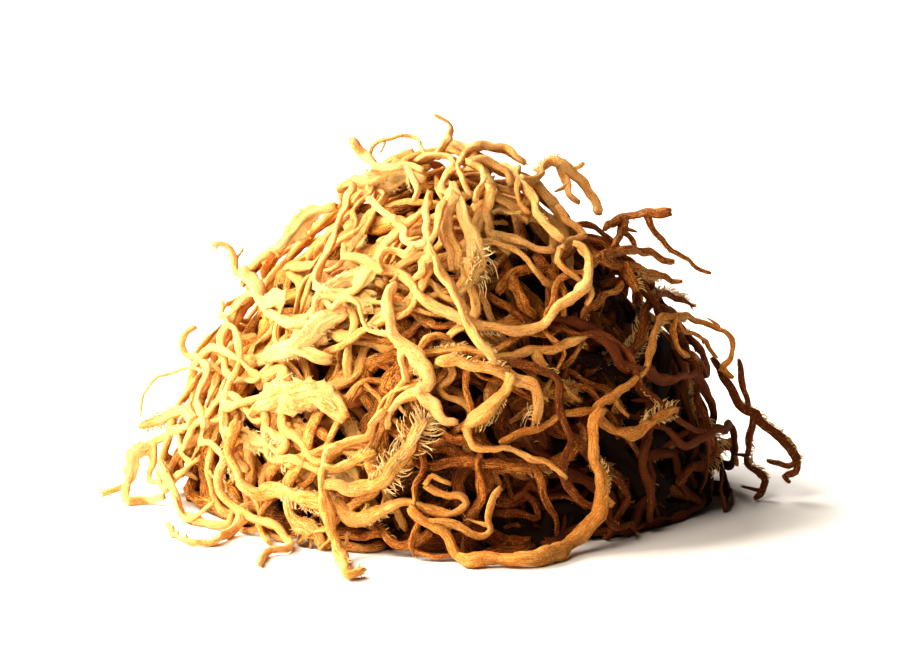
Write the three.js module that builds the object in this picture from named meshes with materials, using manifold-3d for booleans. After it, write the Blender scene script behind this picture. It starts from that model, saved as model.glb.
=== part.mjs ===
// Dried irish moss (gold sea moss): a handful of branched fronds, heaped loosely on a table.
// Millimetres, +Z up. The origin is on the table, under the middle of the heap.
//
// Every frond is one named mesh: a stem and its branches, as faceted tubes fused into one body.
// The fronds are laid on the heap one after another, and each is raised where it crosses
// an earlier one, so that they lie over and under each other and stay apart.

import * as THREE from 'three';
import { mergeVertices } from 'three/addons/utils/BufferGeometryUtils.js';
import Module from 'manifold-3d';

const wasm = await Module();
wasm.setup();

// The heap's outer skin: a rounded mound with this half width, half depth and height.
const HALF_WIDTH = 76;
const HALF_DEPTH = 64;
const HEIGHT = 93;
const ROUNDNESS = 1.7;

// The front fronds are drawn in front view, as [x, height] points in the plane through the
// heap's middle, looking slightly down from the viewpoint.
const VIEW_DISTANCE = 900;
const VIEW_RISE = THREE.MathUtils.degToRad(11.5);
const VIEW_HEIGHT = 42.1;

// Steps that spread repeats evenly: of a circle, and of a range.
const GOLDEN_ANGLE = 2.399963;
const GOLDEN_SHARE = 0.618034;

// Laying.
const CLEARANCE = 0.05;
const DEEPEST_SETTLING = 12;
const FRONT_LOOK_AHEAD = 9;
const SAMPLE_STEP = 1.1;
const FLOOR_GAP = 0.3;
const BEND = 0.02;
const BEND_PLATEAU = 3.5;
const LAYING_PASSES = 14;
const SETTLED = 0.01;
const LONG_SPAN = 5.5;
const PILE_MARGIN = 25;

// Fronds round the sides, the back and the top.
const OUTER_FRONDS = 18;
const OUTER_FIRST_AZIMUTH = THREE.MathUtils.degToRad(-12);
const OUTER_AZIMUTH_RANGE = THREE.MathUtils.degToRad(204);
const OUTER_STEP = 7.6;
const OUTER_STEM_STEPS = 15;
const OUTER_BRANCHES = 3;
const OUTER_BRANCH_STEPS = 4;
const OUTER_SINK = 8;
const OUTER_FRONT_LIMIT = -14;
const OUTER_SEED = 4271;

// How a strand that wanders over the skin is turned back at the table and at the front.
const STEERING = 0.4;
const LOW_MARGIN = 0.25;
const FRONT_MARGIN = 9;

// The inner tangle: a lumpy core, strands that stand out of it, and strands under it.
const CORE_SIZE = 0.6;
const CORE_LUMPS = 0.12;
const CORE_DETAIL = 2;
const CORE_UNDERSIDE = 2;
const INNER_STRANDS = 24;
const INNER_STEPS = 7;
const INNER_STEP = 11;
const INNER_DIVE = 36;
const INNER_SEED = 911;
// Under strands: angle to X in degrees, offset from the origin, half length.
const UNDER_STRANDS = [
  [8, 0, 60], [68, -27, 44], [115, 20, 44], [-14, 30, 44], [28, -34, 48], [96, -3, 50],
];
const UNDER_STEP = 12;
const UNDER_WAVELENGTH = 13;
const UNDER_RADIUS = 2;
const UNDER_RISE = 1.4;
const UNDER_SETTLING = 0.07;
const UNDER_WAVE = 4;

// Tubes.
const THICK_RADIUS = 1.85;
const THICK_SIDES = 5;
const MIDDLE_SIDES = 4;
const THIN_SIDES = 3;
const THIN_RADIUS = 1.12;
const SIDE_TURN = 0.37;
const MERGE_TOLERANCE = 1e-4;

// The front fronds, the deepest first. sink is how far a frond starts under the skin. Each strand has
// radii from its start to its end, and its points. from is the strand and the point it grows from.
const FRONT_FRONDS = [
  { name: 'floor_back_right', tone: 'amber', sink: 2, strands: [
    { r: [1.15, 1.0], at: [[4.4, -1.6], [6.4, -4.6], [10, -7.2], [15, -7.6], [19.5, -6.8], [24, -8.3],
      [27.6, -8.3], [31.4, -7.2], [36, -7.8], [40.2, -7.6], [44, -7.6], [48, -6]] } ] },
  { name: 'floor_dip', tone: 'amber', sink: 2, strands: [
    { r: [1.2], at: [[-27.4, 1.8], [-25, -1.5], [-21.6, -5.2], [-17.4, -7.7], [-14.7, -10], [-12, -11.6],
      [-8.6, -10.8], [-4.8, -8.1]] },
    { r: [1.3], from: [0, 3], at: [[-21, -8.7], [-27, -8.5], [-33, -8.1], [-39, -8]] } ] },
  { name: 'left_prong', tone: 'pale', sink: 8, strands: [
    { r: [0.8, 1, 1.1], at: [[-86.8, 1.5], [-84, 2.4], [-81, 3.8], [-79.9, 6.9], [-79.5, 10.3],
      [-77.2, 12.6], [-74.2, 14.5], [-71.5, 15.8], [-68, 17.5], [-64, 19], [-59, 20], [-53, 22.5]] },
    { r: [1.1, 0.8], from: [0, 6], at: [[-74.6, 9.2], [-75, 5.7], [-72, 4.6]] },
    { r: [1, 0.8], from: [0, 2], at: [[-80.3, -0.4], [-76, 0], [-71.5, 0.7]] },
    { r: [1.8, 1.2], from: [0, 9], at: [[-65.8, 22.2], [-69.6, 21], [-73.4, 19.8], [-77.6, 18.4]] } ] },
  { name: 'right_arm', tone: 'amber', sink: 6, strands: [
    { r: [0.8, 1.2, 1.1], at: [[65.6, 35.6], [67.4, 32.6], [68.9, 29.7], [70.9, 27], [72, 24.7],
      [74.3, 22], [76.2, 21.3], [77.4, 19.4], [80, 17.8], [83, 15.5], [85, 12.8], [87, 9.8]] },
    { r: [0.9, 0.6], from: [0, 11], at: [[84.7, 8.4], [82, 9], [79.3, 9.8]] },
    { r: [0.8, 0.6], from: [0, 11], at: [[86.4, 7], [83.6, 5.9], [84.9, 4.4]] },
    { r: [1, 0.8], from: [0, 6], at: [[75.5, 19], [75, 15.9], [74.7, 12.8], [74.3, 9], [76.8, 6.9],
      [78.9, 4.6], [78, 2], [76.2, 0.4]] },
    { r: [0.7, 0.6, 0.9, 0.45], from: [0, 5], at: [[74.3, 24.9], [73.5, 27.4], [73.2, 30.1],
      [72.6, 32.8], [72.2, 35.1]] } ] },
  { name: 'lower_fork', tone: 'amber', sink: 9, strands: [
    { r: [1, 0.9], at: [[21.8, 7], [20.3, 4.3], [18, 2], [15.7, 0.1]] },
    { r: [0.8], from: [0, 1], at: [[23.4, 1.6], [27.6, 0.9], [31.4, -0.3], [34, -2.2]] },
    { r: [1], from: [0, 2], at: [[20.3, 0.1], [21.5, -2.2], [22.2, -4.5], [19.5, -4.1], [14.2, -3.3],
      [10.3, -3.3]] } ] },
  { name: 'hollow_arch', tone: 'amber', sink: 8, strands: [
    { r: [1.4], at: [[21.5, 61], [23.8, 58], [26, 55.7], [28, 52.6], [28.4, 49]] },
    { r: [1.2], from: [0, 1], at: [[20, 57.6], [17, 57.2], [14.6, 55.7], [12, 52]] },
    { r: [1.1], from: [1, 2], at: [[17.1, 51.9], [18, 49.6], [19.6, 47.3], [21.9, 45.4]] } ] },
  { name: 'left_curl', tone: 'pale', sink: 7, strands: [
    { r: [0.7, 1.1], at: [[-63.5, 43.2], [-65.8, 42.1], [-66.9, 39.4], [-66.2, 36.7], [-62.6, 35.6],
      [-60.8, 32.2], [-62.3, 28.3], [-63.1, 25.3], [-61.9, 21.4], [-61.2, 18]] },
    { r: [0.4], from: [0, 5], at: [[-64.6, 32.9], [-68.8, 32.2], [-72.7, 30.6], [-75.7, 27.9],
      [-77.3, 24.1], [-77.3, 20.8]] } ] },
  { name: 'left_drop', tone: 'pale', sink: 7, strands: [
    { r: [0.5, 0.8, 1.1, 1], at: [[-57, 49.7], [-56.8, 47], [-55.8, 44.4], [-53.9, 42.4], [-52.5, 38],
      [-53.5, 32.5], [-55.4, 28.3], [-56.2, 24.5], [-56.6, 20.7], [-56.2, 17.6], [-55, 13.6], [-53, 9.8],
      [-50.4, 7.4]] },
    { r: [0.8], from: [0, 7], at: [[-52, 23.3], [-49.7, 21.8]] } ] },
  { name: 'upper_left_edge', tone: 'pale', sink: 5, strands: [
    { r: [1.2], at: [[-50.8, 56.6], [-47, 60.8], [-44.7, 62.6], [-42, 63.1], [-39.3, 66.6],
      [-37.4, 69.3], [-34.7, 71.6], [-31.7, 72.7], [-28.6, 73.5]] },
    { r: [0.9, 0.6], from: [0, 0], at: [[-53.6, 57.4], [-53.9, 60.8], [-55.1, 62.8], [-57, 63.9],
      [-59, 64]] },
    { r: [1.7], from: [0, 0], at: [[-49.3, 54.2], [-47.8, 52], [-46.2, 48.6], [-43.9, 46.3],
      [-40.9, 44.7], [-37, 43.6], [-34.4, 43.2]] } ] },
  { name: 'top_left_fuzz', tone: 'pale', sink: 3, strands: [
    { r: [1.2, 1.8, 1.2], at: [[-28, 77.5], [-24, 80], [-20, 79], [-16, 80.5], [-11, 81.5], [-6, 80]] },
    { r: [1, 0.7], from: [0, 2], at: [[-21, 75.5], [-24.2, 72.4], [-24, 68.5], [-27.3, 66]] } ] },
  { name: 'crest', tone: 'pale', sink: 2, strands: [
    { r: [1.3, 1.4, 1.1], at: [[1.4, 83.5], [3.7, 86.2], [6, 87.9], [8.3, 88.7], [11.4, 88.3],
      [14.1, 87.4], [16.4, 85.8], [18.7, 84.3]] },
    { r: [0.8], from: [0, 0], at: [[0, 85.6], [-3.2, 86], [-6.2, 86.2], [-8.5, 84.7]] },
    { r: [0.9, 0.45], from: [1, 1], at: [[-1.4, 88.5], [-0.3, 91.2], [0.1, 93.1], [-1.3, 95],
      [-3.9, 96.3]] },
    { r: [0.45], from: [1, 2], at: [[-7.4, 88.5], [-9.3, 91], [-12, 91], [-14.7, 90.2], [-17.4, 89.5],
      [-19.5, 88.1], [-20, 85.8]] },
    { r: [0.8], from: [0, 0], at: [[3, 80.5], [4.1, 78.2], [5.6, 75.5]] },
    { r: [0.9], from: [0, 0], at: [[-1.4, 80.6], [-1.6, 77.4], [0.7, 75.5], [3, 73.6],
      [5.3, 72.4]] } ] },
  { name: 'top_stick', tone: 'pale', sink: 2, strands: [
    { r: [1.1, 1.2, 1.1], at: [[-6.6, 82.2], [-10.8, 83.5], [-13.9, 82.9], [-17.4, 83.3], [-19.8, 84.7],
      [-21.8, 86.6], [-23.7, 88.9], [-24.6, 90.2]] },
    { r: [0.8], from: [0, 1], at: [[-9.3, 80.4], [-7.9, 77.6], [-9, 74.8]] } ] },
  { name: 'frayed_slope', tone: 'pale', sink: 5, strands: [
    { r: [1.1], at: [[4.5, 84.3], [7.6, 82.8], [9.1, 80.1], [10.6, 77.4], [12.2, 75.5], [14.8, 73.6],
      [17.1, 71.6], [19.4, 69.7]] },
    { r: [0.9], from: [0, 2], at: [[7.2, 77.4], [6.2, 74.4]] },
    { r: [1], from: [0, 0], at: [[8.5, 85], [12.2, 83.5], [14.5, 81.6], [15.2, 78.5]] },
    { r: [1.5, 1.4, 0.8], from: [0, 3], at: [[9.4, 74.2], [9.1, 71.6], [9.9, 69.3], [10.2, 66.3],
      [12.2, 64], [14.8, 61.7]] },
    { r: [1.2], from: [3, 3], at: [[14.8, 65.4], [18.3, 64.2], [21.4, 63], [24.4, 62.4],
      [26.3, 62.8]] } ] },
  { name: 'tuft_drop', tone: 'pale', sink: 4, strands: [
    { r: [0.9, 1.3, 2.2, 1.2], at: [[0.7, 79.3], [1.4, 76.2], [2.6, 73.2], [4.5, 68.2], [5.6, 65.5],
      [6.4, 62.4], [6.4, 59.4], [5.6, 56.7], [3.7, 54], [2.2, 52]] },
    { r: [1.4], from: [0, 1], at: [[-1.4, 72], [-0.5, 66.4], [1, 61.7], [1.2, 57.6]] } ] },
  { name: 'leafy_left', tone: 'pale', sink: 6, strands: [
    { r: [1.3, 2, 1.9, 1.2], at: [[-46, 36], [-42, 37], [-38.6, 38.2], [-35.5, 40.5], [-32.4, 43.6],
      [-29.4, 45.9], [-25.9, 47]] },
    { r: [1.1], from: [0, 2], at: [[-35.5, 36.8], [-32.4, 35.7], [-29.6, 35.2]] },
    { r: [1.4], from: [0, 4], at: [[-33.4, 47.6], [-31.4, 51.4], [-27.6, 54], [-24.3, 55.4],
      [-21.6, 56.2], [-18.5, 56], [-16.2, 54]] },
    { r: [1.2], from: [2, 1], at: [[-26.6, 51.4], [-22.3, 51.4], [-18.5, 50.9]] } ] },
  { name: 'amber_broad', tone: 'amber', sink: 6, strands: [
    { r: [1.7, 1.5], at: [[-30, 27.8], [-27.5, 29.8], [-24, 31.7], [-20.2, 33.6], [-16.3, 35.2],
      [-12.5, 36.3]] },
    { r: [1.4], from: [0, 0], at: [[-26.9, 25.1], [-23.9, 24.4], [-21.2, 26.3], [-17.4, 27],
      [-13.5, 27.4], [-9.7, 27]] },
    { r: [1], from: [1, 2], at: [[-19.3, 23.6], [-18.1, 21.4], [-16.2, 20]] } ] },
  { name: 'left_small', tone: 'amber', sink: 6, strands: [
    { r: [0.9, 1.3], at: [[-39.8, 26], [-41.2, 22.6], [-39.7, 19.1], [-36.6, 18], [-33.6, 17.6],
      [-30.5, 15.3]] },
    { r: [1.4], from: [0, 2], at: [[-39.5, 16], [-37.4, 13.9], [-34.7, 12.2], [-32, 10.7]] } ] },
  { name: 'left_comb', tone: 'pale', sink: 4, strands: [
    { r: [1], at: [[-57, 17.4], [-53.6, 16.8], [-50.4, 15.6], [-48, 14], [-45.4, 13.8], [-42.8, 11.1],
      [-40.5, 8.8], [-38.5, 8.8]] },
    { r: [1, 1.2, 0.8], from: [0, 5], at: [[-41.2, 13.9], [-43.4, 16.4], [-46.6, 18.4]] } ] },
  { name: 'left_foot', tone: 'pale', sink: 5, strands: [
    { r: [1.3, 1.2, 0.8], at: [[-52.4, 13.4], [-56.4, 10], [-58, 5.3], [-56.9, 1.9], [-54.3, -1.6],
      [-51.2, -3.5], [-48, -5], [-44.7, -6.2], [-42, -8.1], [-40.1, -10.4], [-41.6, -12.2],
      [-44.7, -12.8], [-47, -14.4], [-47.7, -16.2]] },
    { r: [0.9], from: [0, 6], at: [[-46.8, -8.3], [-45.4, -10.6]] },
    { r: [1.3, 1, 0.6], from: [0, 5], at: [[-53.4, -6.6], [-56.6, -9], [-60.2, -10.4], [-63.8, -10.6],
      [-66.8, -9.8], [-69.2, -8.2], [-70.5, -5.8]] } ] },
  { name: 'pale_flake', tone: 'pale', sink: 3, strands: [
    { r: [0.6, 1.6, 2.6, 2.2, 1.2], at: [[-50, 21], [-48, 23.3], [-45.4, 24.5], [-42.8, 26],
      [-39.3, 25.6], [-35.9, 26.4], [-31.6, 25.6], [-28.5, 22.9], [-26.2, 20.2]] },
    { r: [0.9, 0.5], from: [0, 3], at: [[-42, 28.9], [-39.6, 31.2]] } ] },
  { name: 'wide_wave', tone: 'pale', sink: 3, strands: [
    { r: [1.5, 1.7, 1.9, 1.4, 1, 0.9], at: [[-53, 19.5], [-54.3, 15.7], [-55.4, 12.2], [-54.3, 8.8],
      [-53, 5.7], [-50.8, 3], [-48, 1.5], [-44.7, 2.3], [-40.8, 1.5], [-37.4, 0.7], [-33.2, -0.6],
      [-28.5, -1.2], [-26.2, -3.1], [-23.6, -4.7], [-20.5, -4.3], [-17, -2.8], [-13.6, -1.2],
      [-10.5, -0.1], [-7.8, -1.2], [-4.8, -2.8], [-0.9, -3.5], [2.5, -2.8], [3.9, -0.8], [2.5, 0.9],
      [-0.6, 1.4], [-3.4, 2.2], [-6.2, 3.6]] },
    { r: [0.7], from: [0, 26], at: [[-4.4, 6.1], [-2.2, 5], [0.2, 4]] } ] },
  { name: 'lower_level', tone: 'amber', sink: 4, strands: [
    { r: [1.3, 1.4, 1.7, 1.5, 1.2], at: [[-9, 13], [-5, 12.8], [-1.9, 13.3], [0, 12.8], [2.3, 11.2],
      [5.7, 9.7], [9.2, 8.2], [12.6, 8], [16.5, 8.5], [20.3, 8.5], [24.1, 8.5], [27.6, 9.7],
      [30.3, 11.6], [32.2, 13.9], [33.7, 15.8], [33.3, 17.7], [32.2, 19]] },
    { r: [1.1], from: [0, 6], at: [[9.9, 4.6], [8.4, 1.6], [6.9, -1], [6.2, -4]] } ] },
  { name: 'knob_strand', tone: 'amber', sink: 5, strands: [
    { r: [1.1, 1.4, 1.6, 1.2, 1], at: [[59.4, 17.2], [54.7, 14.4], [52.8, 12.5], [50.5, 11.3],
      [47.8, 10.4], [45.6, 9.2], [46.4, 7.2], [49.3, 6.8], [52, 5.6], [54.7, 3.3], [57.4, 1.3],
      [59.3, 0]] },
    { r: [1.2, 0.9], from: [0, 5], at: [[44.8, 5.2], [43.2, 2], [43.4, -0.8], [46.4, -1.6], [50, -1.4],
      [53.4, -1.8]] } ] },
  { name: 'right_comb', tone: 'amber', sink: 4, strands: [
    { r: [1, 1.3, 1.1], at: [[58.4, 37.6], [60.8, 34], [62.3, 30.5], [61.6, 26.6], [62.3, 23.2],
      [63.5, 19.4], [64.6, 15.9], [65.4, 12.8], [65, 9.8], [62.7, 8.6], [60.4, 7.9], [58.1, 5.9],
      [57, 3.6]] } ] },
  { name: 'ring_eye', tone: 'pale', sink: 5, strands: [
    { r: [1], at: [[26.9, 73.7], [28, 72.2], [29.2, 69.9], [31.5, 68], [33.2, 66.2], [31.5, 65.2],
      [29, 64], [27.5, 62.5]] },
    { r: [0.8], from: [0, 7], at: [[27, 60.4], [28.4, 58.2], [30.7, 56.1], [32.6, 54.7]] } ] },
  { name: 'ring_strand', tone: 'pale', sink: 4, strands: [
    { r: [1.1], at: [[17, 83.1], [17.3, 80], [19.2, 77.6], [21.1, 74.5], [22.3, 71], [24.6, 68.4],
      [26.9, 66.1], [28.4, 65.1]] },
    { r: [0.8], from: [0, 1], at: [[16.9, 76.8], [17.9, 73.8], [19.6, 71.6]] },
    { r: [1, 1.2, 1.1], from: [0, 1], at: [[20.2, 79.6], [22.3, 81.2], [23.4, 83.3], [25.3, 84.5],
      [27.6, 84.1], [29.9, 82.9], [31.5, 81], [33.4, 79.1], [34.9, 76.4], [36.4, 74.5], [37.2, 71.8]] },
    { r: [0.5], from: [2, 5], at: [[31.8, 83.2], [33.4, 84.2]] },
    { r: [0.8], from: [2, 4], at: [[28.2, 81.2], [29.6, 78.4], [30.2, 75.8], [32.2, 74.4]] } ] },
  { name: 'right_stick', tone: 'amber', sink: 4, strands: [
    { r: [1, 1.1, 1.3], at: [[38.6, 67.9], [40.7, 69.4], [43.3, 70.7], [46.4, 71], [49.1, 71.8],
      [51.8, 71.8], [54.9, 72]] },
    { r: [0.8, 0.6, 0.45], from: [0, 4], at: [[50, 69.3], [51.4, 66.8], [53.3, 64.9], [54.8, 62.6],
      [57.5, 61.1], [60.2, 59.9], [61.7, 58], [63.7, 57], [65.2, 56.7]] },
    { r: [1.1], from: [0, 2], at: [[43, 67.2], [41.8, 64.9], [40.7, 62.6]] },
    { r: [0.6], from: [2, 0], at: [[45.3, 65.4], [46.4, 63]] } ] },
  { name: 'right_prongs', tone: 'amber', sink: 4, strands: [
    { r: [1.1, 1.1, 0.7], at: [[33.4, 56.4], [37.2, 60.6], [41.2, 62], [44.5, 62.4], [47.9, 62.2],
      [50.6, 61.5], [53.3, 59.9], [56, 59.5]] },
    { r: [1.1, 1.1, 0.7], from: [0, 1], at: [[40.4, 58.8], [43.4, 58.8], [46.4, 58], [49.9, 56.9],
      [52.9, 56.1], [55.6, 54.6], [57.9, 54.6]] },
    { r: [1.4, 1], from: [1, 1], at: [[45, 55.4], [46.8, 52.4]] } ] },
  { name: 'comb_arch', tone: 'amber', sink: 4, strands: [
    { r: [1, 1.4, 1.6, 1, 0.5], at: [[33.5, 31.5], [37.5, 34.3], [41, 35.6], [45, 37], [47.5, 40],
      [48, 44], [49.2, 48], [52, 50.8], [57, 50.5], [60.8, 48.5]] } ] },
  { name: 'curved_stub', tone: 'amber', sink: 3, strands: [
    { r: [1.2, 1.1, 0.7], at: [[43, 54.2], [41.4, 51.9], [38.4, 51.1], [36.1, 48.8], [33.8, 46.9],
      [33.2, 44.6], [32.6, 41.1], [31.8, 38.1], [30.7, 35.4], [27.5, 33]] } ] },
  { name: 'bowl', tone: 'pale', sink: 3, strands: [
    { r: [1.1, 1.2, 1.4, 1.4, 1.2], at: [[-26.9, 60.9], [-23.5, 60.5], [-20.4, 59.4], [-17.4, 57.8],
      [-13.5, 57.1], [-11.2, 55.2], [-8.9, 53.2], [-6.6, 50.6], [-3.9, 48.3], [0, 46.5], [4.5, 44.8],
      [8.5, 43.8], [13, 42.5], [18, 42.3], [23, 44], [27, 48], [31, 51], [34, 54.5], [35, 58],
      [34.5, 61], [33, 63.2], [31, 64.2]] },
    { r: [1.1, 0.9], from: [0, 17], at: [[35.4, 51.5], [34.2, 49]] } ] },
  { name: 'right_loop', tone: 'pale', sink: 3, strands: [
    { r: [0.7, 0.8, 1, 1, 1.2, 1.5, 1.3], at: [[67.7, 33.2], [69.6, 34.7], [70.8, 37], [70.8, 39.3],
      [69.2, 41.6], [66.9, 42.6], [64.6, 43.9], [62.3, 44.7], [59.3, 45.8], [56.2, 45.8], [53.2, 45.4],
      [51.5, 43], [50.8, 40.8], [50.5, 37.8], [49.7, 34.7], [47.8, 31.6], [45.5, 29.3], [42.8, 27.4],
      [40.5, 25.9], [38.2, 24.7], [36.7, 22.6], [37.4, 20.5], [39, 18.6], [41.3, 17.1], [44.3, 16.7],
      [47.4, 17.4], [50, 19], [52.8, 20.9], [55, 22], [56.6, 22.4]] },
    { r: [0.85], from: [0, 20], at: [[33, 21.9], [29, 21.6], [26, 20.5], [22, 17.5], [19, 17.2],
      [15.5, 15.7], [12.6, 14.4]] },
    { r: [0.5], from: [0, 18], at: [[42.4, 23], [44.7, 20.9]] },
    { r: [0.7], from: [0, 9], at: [[57.6, 43.2], [60.9, 41.6], [63.6, 39.8], [65.3, 37.4],
      [66.6, 35.6]] },
    { r: [0.9], from: [0, 9], at: [[55.6, 43], [55.8, 40.4], [57.2, 37.8], [59.4, 35.8]] },
    { r: [0.8, 0.5], from: [0, 0], at: [[69.3, 31.6], [70.9, 30.5]] } ] },
  { name: 'long_level', tone: 'pale', sink: 5, strands: [
    { r: [1.2, 1.3, 1.2, 0.9], at: [[-13.4, 38.8], [-8.9, 37.1], [-5.5, 37], [-0.9, 37.4], [3, 37.4],
      [6.4, 37], [10.2, 36.2], [14.1, 35.5], [17.1, 36.2], [21, 37.4], [25.6, 37.8], [30.5, 39.3],
      [34.5, 41.5]] },
    { r: [0.9], from: [0, 3], at: [[0.1, 34.2], [0.7, 31.6], [-0.5, 29.7], [-2.6, 27.8], [-1.6, 25.8],
      [1, 25.4], [3.3, 24.4], [4.9, 22.1]] },
    { r: [1], from: [0, 9], at: [[22.9, 34], [25.5, 31.2], [27.8, 28.6], [30.5, 26.3],
      [32.8, 24.7]] } ] },
  { name: 'rough_strand', tone: 'pale', sink: 2, strands: [
    { r: [1.4, 1.5, 1.3, 1.1], at: [[-3.2, 34.6], [1.8, 34.8], [5.6, 33.8], [9.1, 33], [12.2, 32.2],
      [15.2, 31], [17.5, 29.8], [19.8, 29.6], [21.4, 28], [21.9, 25.5], [21.9, 22.4], [21.4, 19.4]] },
    { r: [1.3, 1.5, 2.2, 1.5], from: [0, 5], at: [[13.7, 27], [11.4, 24.4], [8.7, 22.1], [6, 20.1],
      [3.9, 18.2]] },
    { r: [0.9], from: [1, 4], at: [[4.7, 15.2], [7, 13.2], [10.2, 12.7], [14.1, 12.9], [17.1, 11.7],
      [20.6, 10.6], [24, 9.4], [26.8, 7.4], [29.1, 5.4]] } ] },
  { name: 'white_fork', tone: 'pale', sink: 1, strands: [
    { r: [1.1, 1.2, 1.2, 1], at: [[-5.1, 77], [-5.5, 73.9], [-5.9, 70.9], [-5.9, 67.4], [-5.5, 64.4],
      [-4.3, 60.9], [-3.2, 58.2], [-1.3, 55.2], [0.7, 52.9], [2, 49.8], [3.3, 46.7], [4.7, 43.9],
      [6, 41.6], [7.6, 38.9], [9.5, 37], [11.4, 34.2]] },
    { r: [0.9], from: [0, 4], at: [[-3.6, 67], [-3, 69.6], [-2.4, 72.4], [-1.3, 74.7]] },
    { r: [1.1, 0.9], from: [0, 4], at: [[-8.7, 63.4], [-11, 65], [-11.6, 67.6], [-13.5, 69.6],
      [-16.2, 71.6], [-18.5, 73.9], [-20.4, 75.5]] },
    { r: [0.9], from: [2, 0], at: [[-11, 61.3], [-13, 62.2], [-15, 62.4], [-16.8, 61.3], [-17.5, 59],
      [-16.8, 56.9]] },
    { r: [0.9, 0.7], from: [0, 5], at: [[-7.2, 59.4], [-7, 57], [-9, 55.4]] } ] },
  { name: 'pale_sweep', tone: 'pale', sink: 2, strands: [
    { r: [1.2, 1.3, 1.4, 2, 1.8, 1.3, 1], at: [[-13.3, 54], [-14.7, 52.6], [-15.8, 50.4], [-15.6, 47.8],
      [-14.7, 44.8], [-14.1, 41.4], [-11.6, 38.5], [-8.5, 35.5], [-6.2, 32.4], [-5.5, 29.7],
      [-7.4, 27.2], [-6.2, 25.1], [-3.9, 23.6], [-2.8, 21.6], [-1.3, 19.9], [1.8, 19.4]] },
    { r: [0.75], from: [0, 5], at: [[-17.9, 41.7], [-20.6, 43.2], [-22.3, 46.4], [-23.2, 49.3],
      [-25.5, 50.3], [-27.5, 49.7], [-29.4, 48.2], [-31.1, 49.7]] },
    { r: [1], from: [0, 6], at: [[-12.4, 35.2], [-11.6, 32.2], [-10.8, 29.6]] },
    { r: [1.2, 1], from: [0, 10], at: [[-11.2, 25.4], [-13.9, 23.4], [-15.6, 20.7], [-15.6, 17.8]] } ] },
  { name: 'brush_foot', tone: 'pale', sink: 2, strands: [
    { r: [0.9, 1, 1.3, 1.5, 1.4], at: [[-16.4, 22.4], [-19.3, 18.7], [-20.1, 16.4], [-22.8, 15.3],
      [-25.5, 14.5], [-28.2, 13], [-30.8, 11], [-31.4, 8], [-31.8, 4.1], [-31.2, 0.3], [-30.8, -3.1],
      [-29.7, -6.6], [-28.5, -9.7], [-27.8, -13.1], [-26.6, -15.8], [-24.7, -18.5], [-22, -17.6]] },
    { r: [0.5], from: [0, 13], at: [[-26.2, -11.4], [-25.6, -8.4]] },
    { r: [1.2, 1.9, 1.9, 1.2], from: [0, 8], at: [[-27.8, 3.6], [-24.7, 2.4], [-21.6, 3], [-18.2, 4.5],
      [-15.5, 6.4], [-13.2, 9.1], [-11.3, 11.8], [-9.8, 14.5], [-8.2, 17.2], [-5.9, 19.9]] },
    { r: [1], from: [0, 7], at: [[-28.4, 7.6], [-25.5, 8.7], [-21.6, 10.7], [-18.6, 11.8]] } ] },
  { name: 'floor_loop', tone: 'pale', sink: 1, strands: [
    { r: [1.3, 1.6, 1.9, 2, 1.8, 1.5, 1.3], at: [[-10.1, -2], [-7.8, -4.3], [-5.2, -5.8], [-1.2, -8.7],
      [0.7, -11.4], [2.3, -14.1], [5.3, -15], [8.8, -14.8], [12.2, -14.7], [15.7, -14.8], [19.5, -14.7],
      [23.4, -14.1], [26.8, -12.9], [30.3, -10.6], [33.3, -8.3], [35.6, -5.6], [37.2, -2.6], [37.9, 0.5],
      [38.3, 3.9], [37.9, 7], [36.4, 9.7], [35.6, 13.1], [36, 16.2], [35.9, 19.6], [38, 22.6]] },
    { r: [0.9], from: [0, 2], at: [[-2, -5.6], [1.5, -6], [3.8, -7.6], [6.1, -9.1], [8.4, -9.1],
      [9.9, -7.6], [9.4, -4.6], [9.8, -1.6], [11.1, 0.9], [12.6, 3]] },
    { r: [1.3, 1], from: [0, 17], at: [[40.6, -1.2]] } ] },
];

// Seeded numbers between low and high, always in the same order.
function seededNumbers(seed) {
  let state = seed;
  return (low, high) => {
    state = (state * 48271) % 2147483647;
    return low + (high - low) * (state / 2147483647);
  };
}

// How far out a point is: 1 on the heap's skin, less inside.
function skinLevel(point) {
  const wide = Math.abs(point.x / HALF_WIDTH) ** ROUNDNESS;
  const deep = Math.abs(point.y / HALF_DEPTH) ** ROUNDNESS;
  const high = Math.abs(point.z / HEIGHT) ** ROUNDNESS;
  return (wide + deep + high) ** (1 / ROUNDNESS);
}

// The radius at this share of a strand's length, between the radii of its list.
function radiusAt(radii, share) {
  const place = share * (radii.length - 1);
  const index = Math.min(Math.floor(place), radii.length - 2);
  if (index < 0) {
    return radii[0];
  }
  return radii[index] + (radii[index + 1] - radii[index]) * (place - index);
}

// The point of a drawn front view, laid on the heap or, below and beside it, on the table or free.
const VIEW_RIGHT = new THREE.Vector3(1, 0, 0);
const VIEW_UP = new THREE.Vector3(0, Math.sin(VIEW_RISE), Math.cos(VIEW_RISE));
const VIEW_AIM = new THREE.Vector3(0, 0, VIEW_HEIGHT / Math.cos(VIEW_RISE));
const VIEWPOINT = new THREE.Vector3(0, -Math.cos(VIEW_RISE), Math.sin(VIEW_RISE))
  .multiplyScalar(VIEW_DISTANCE)
  .add(VIEW_AIM);

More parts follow.
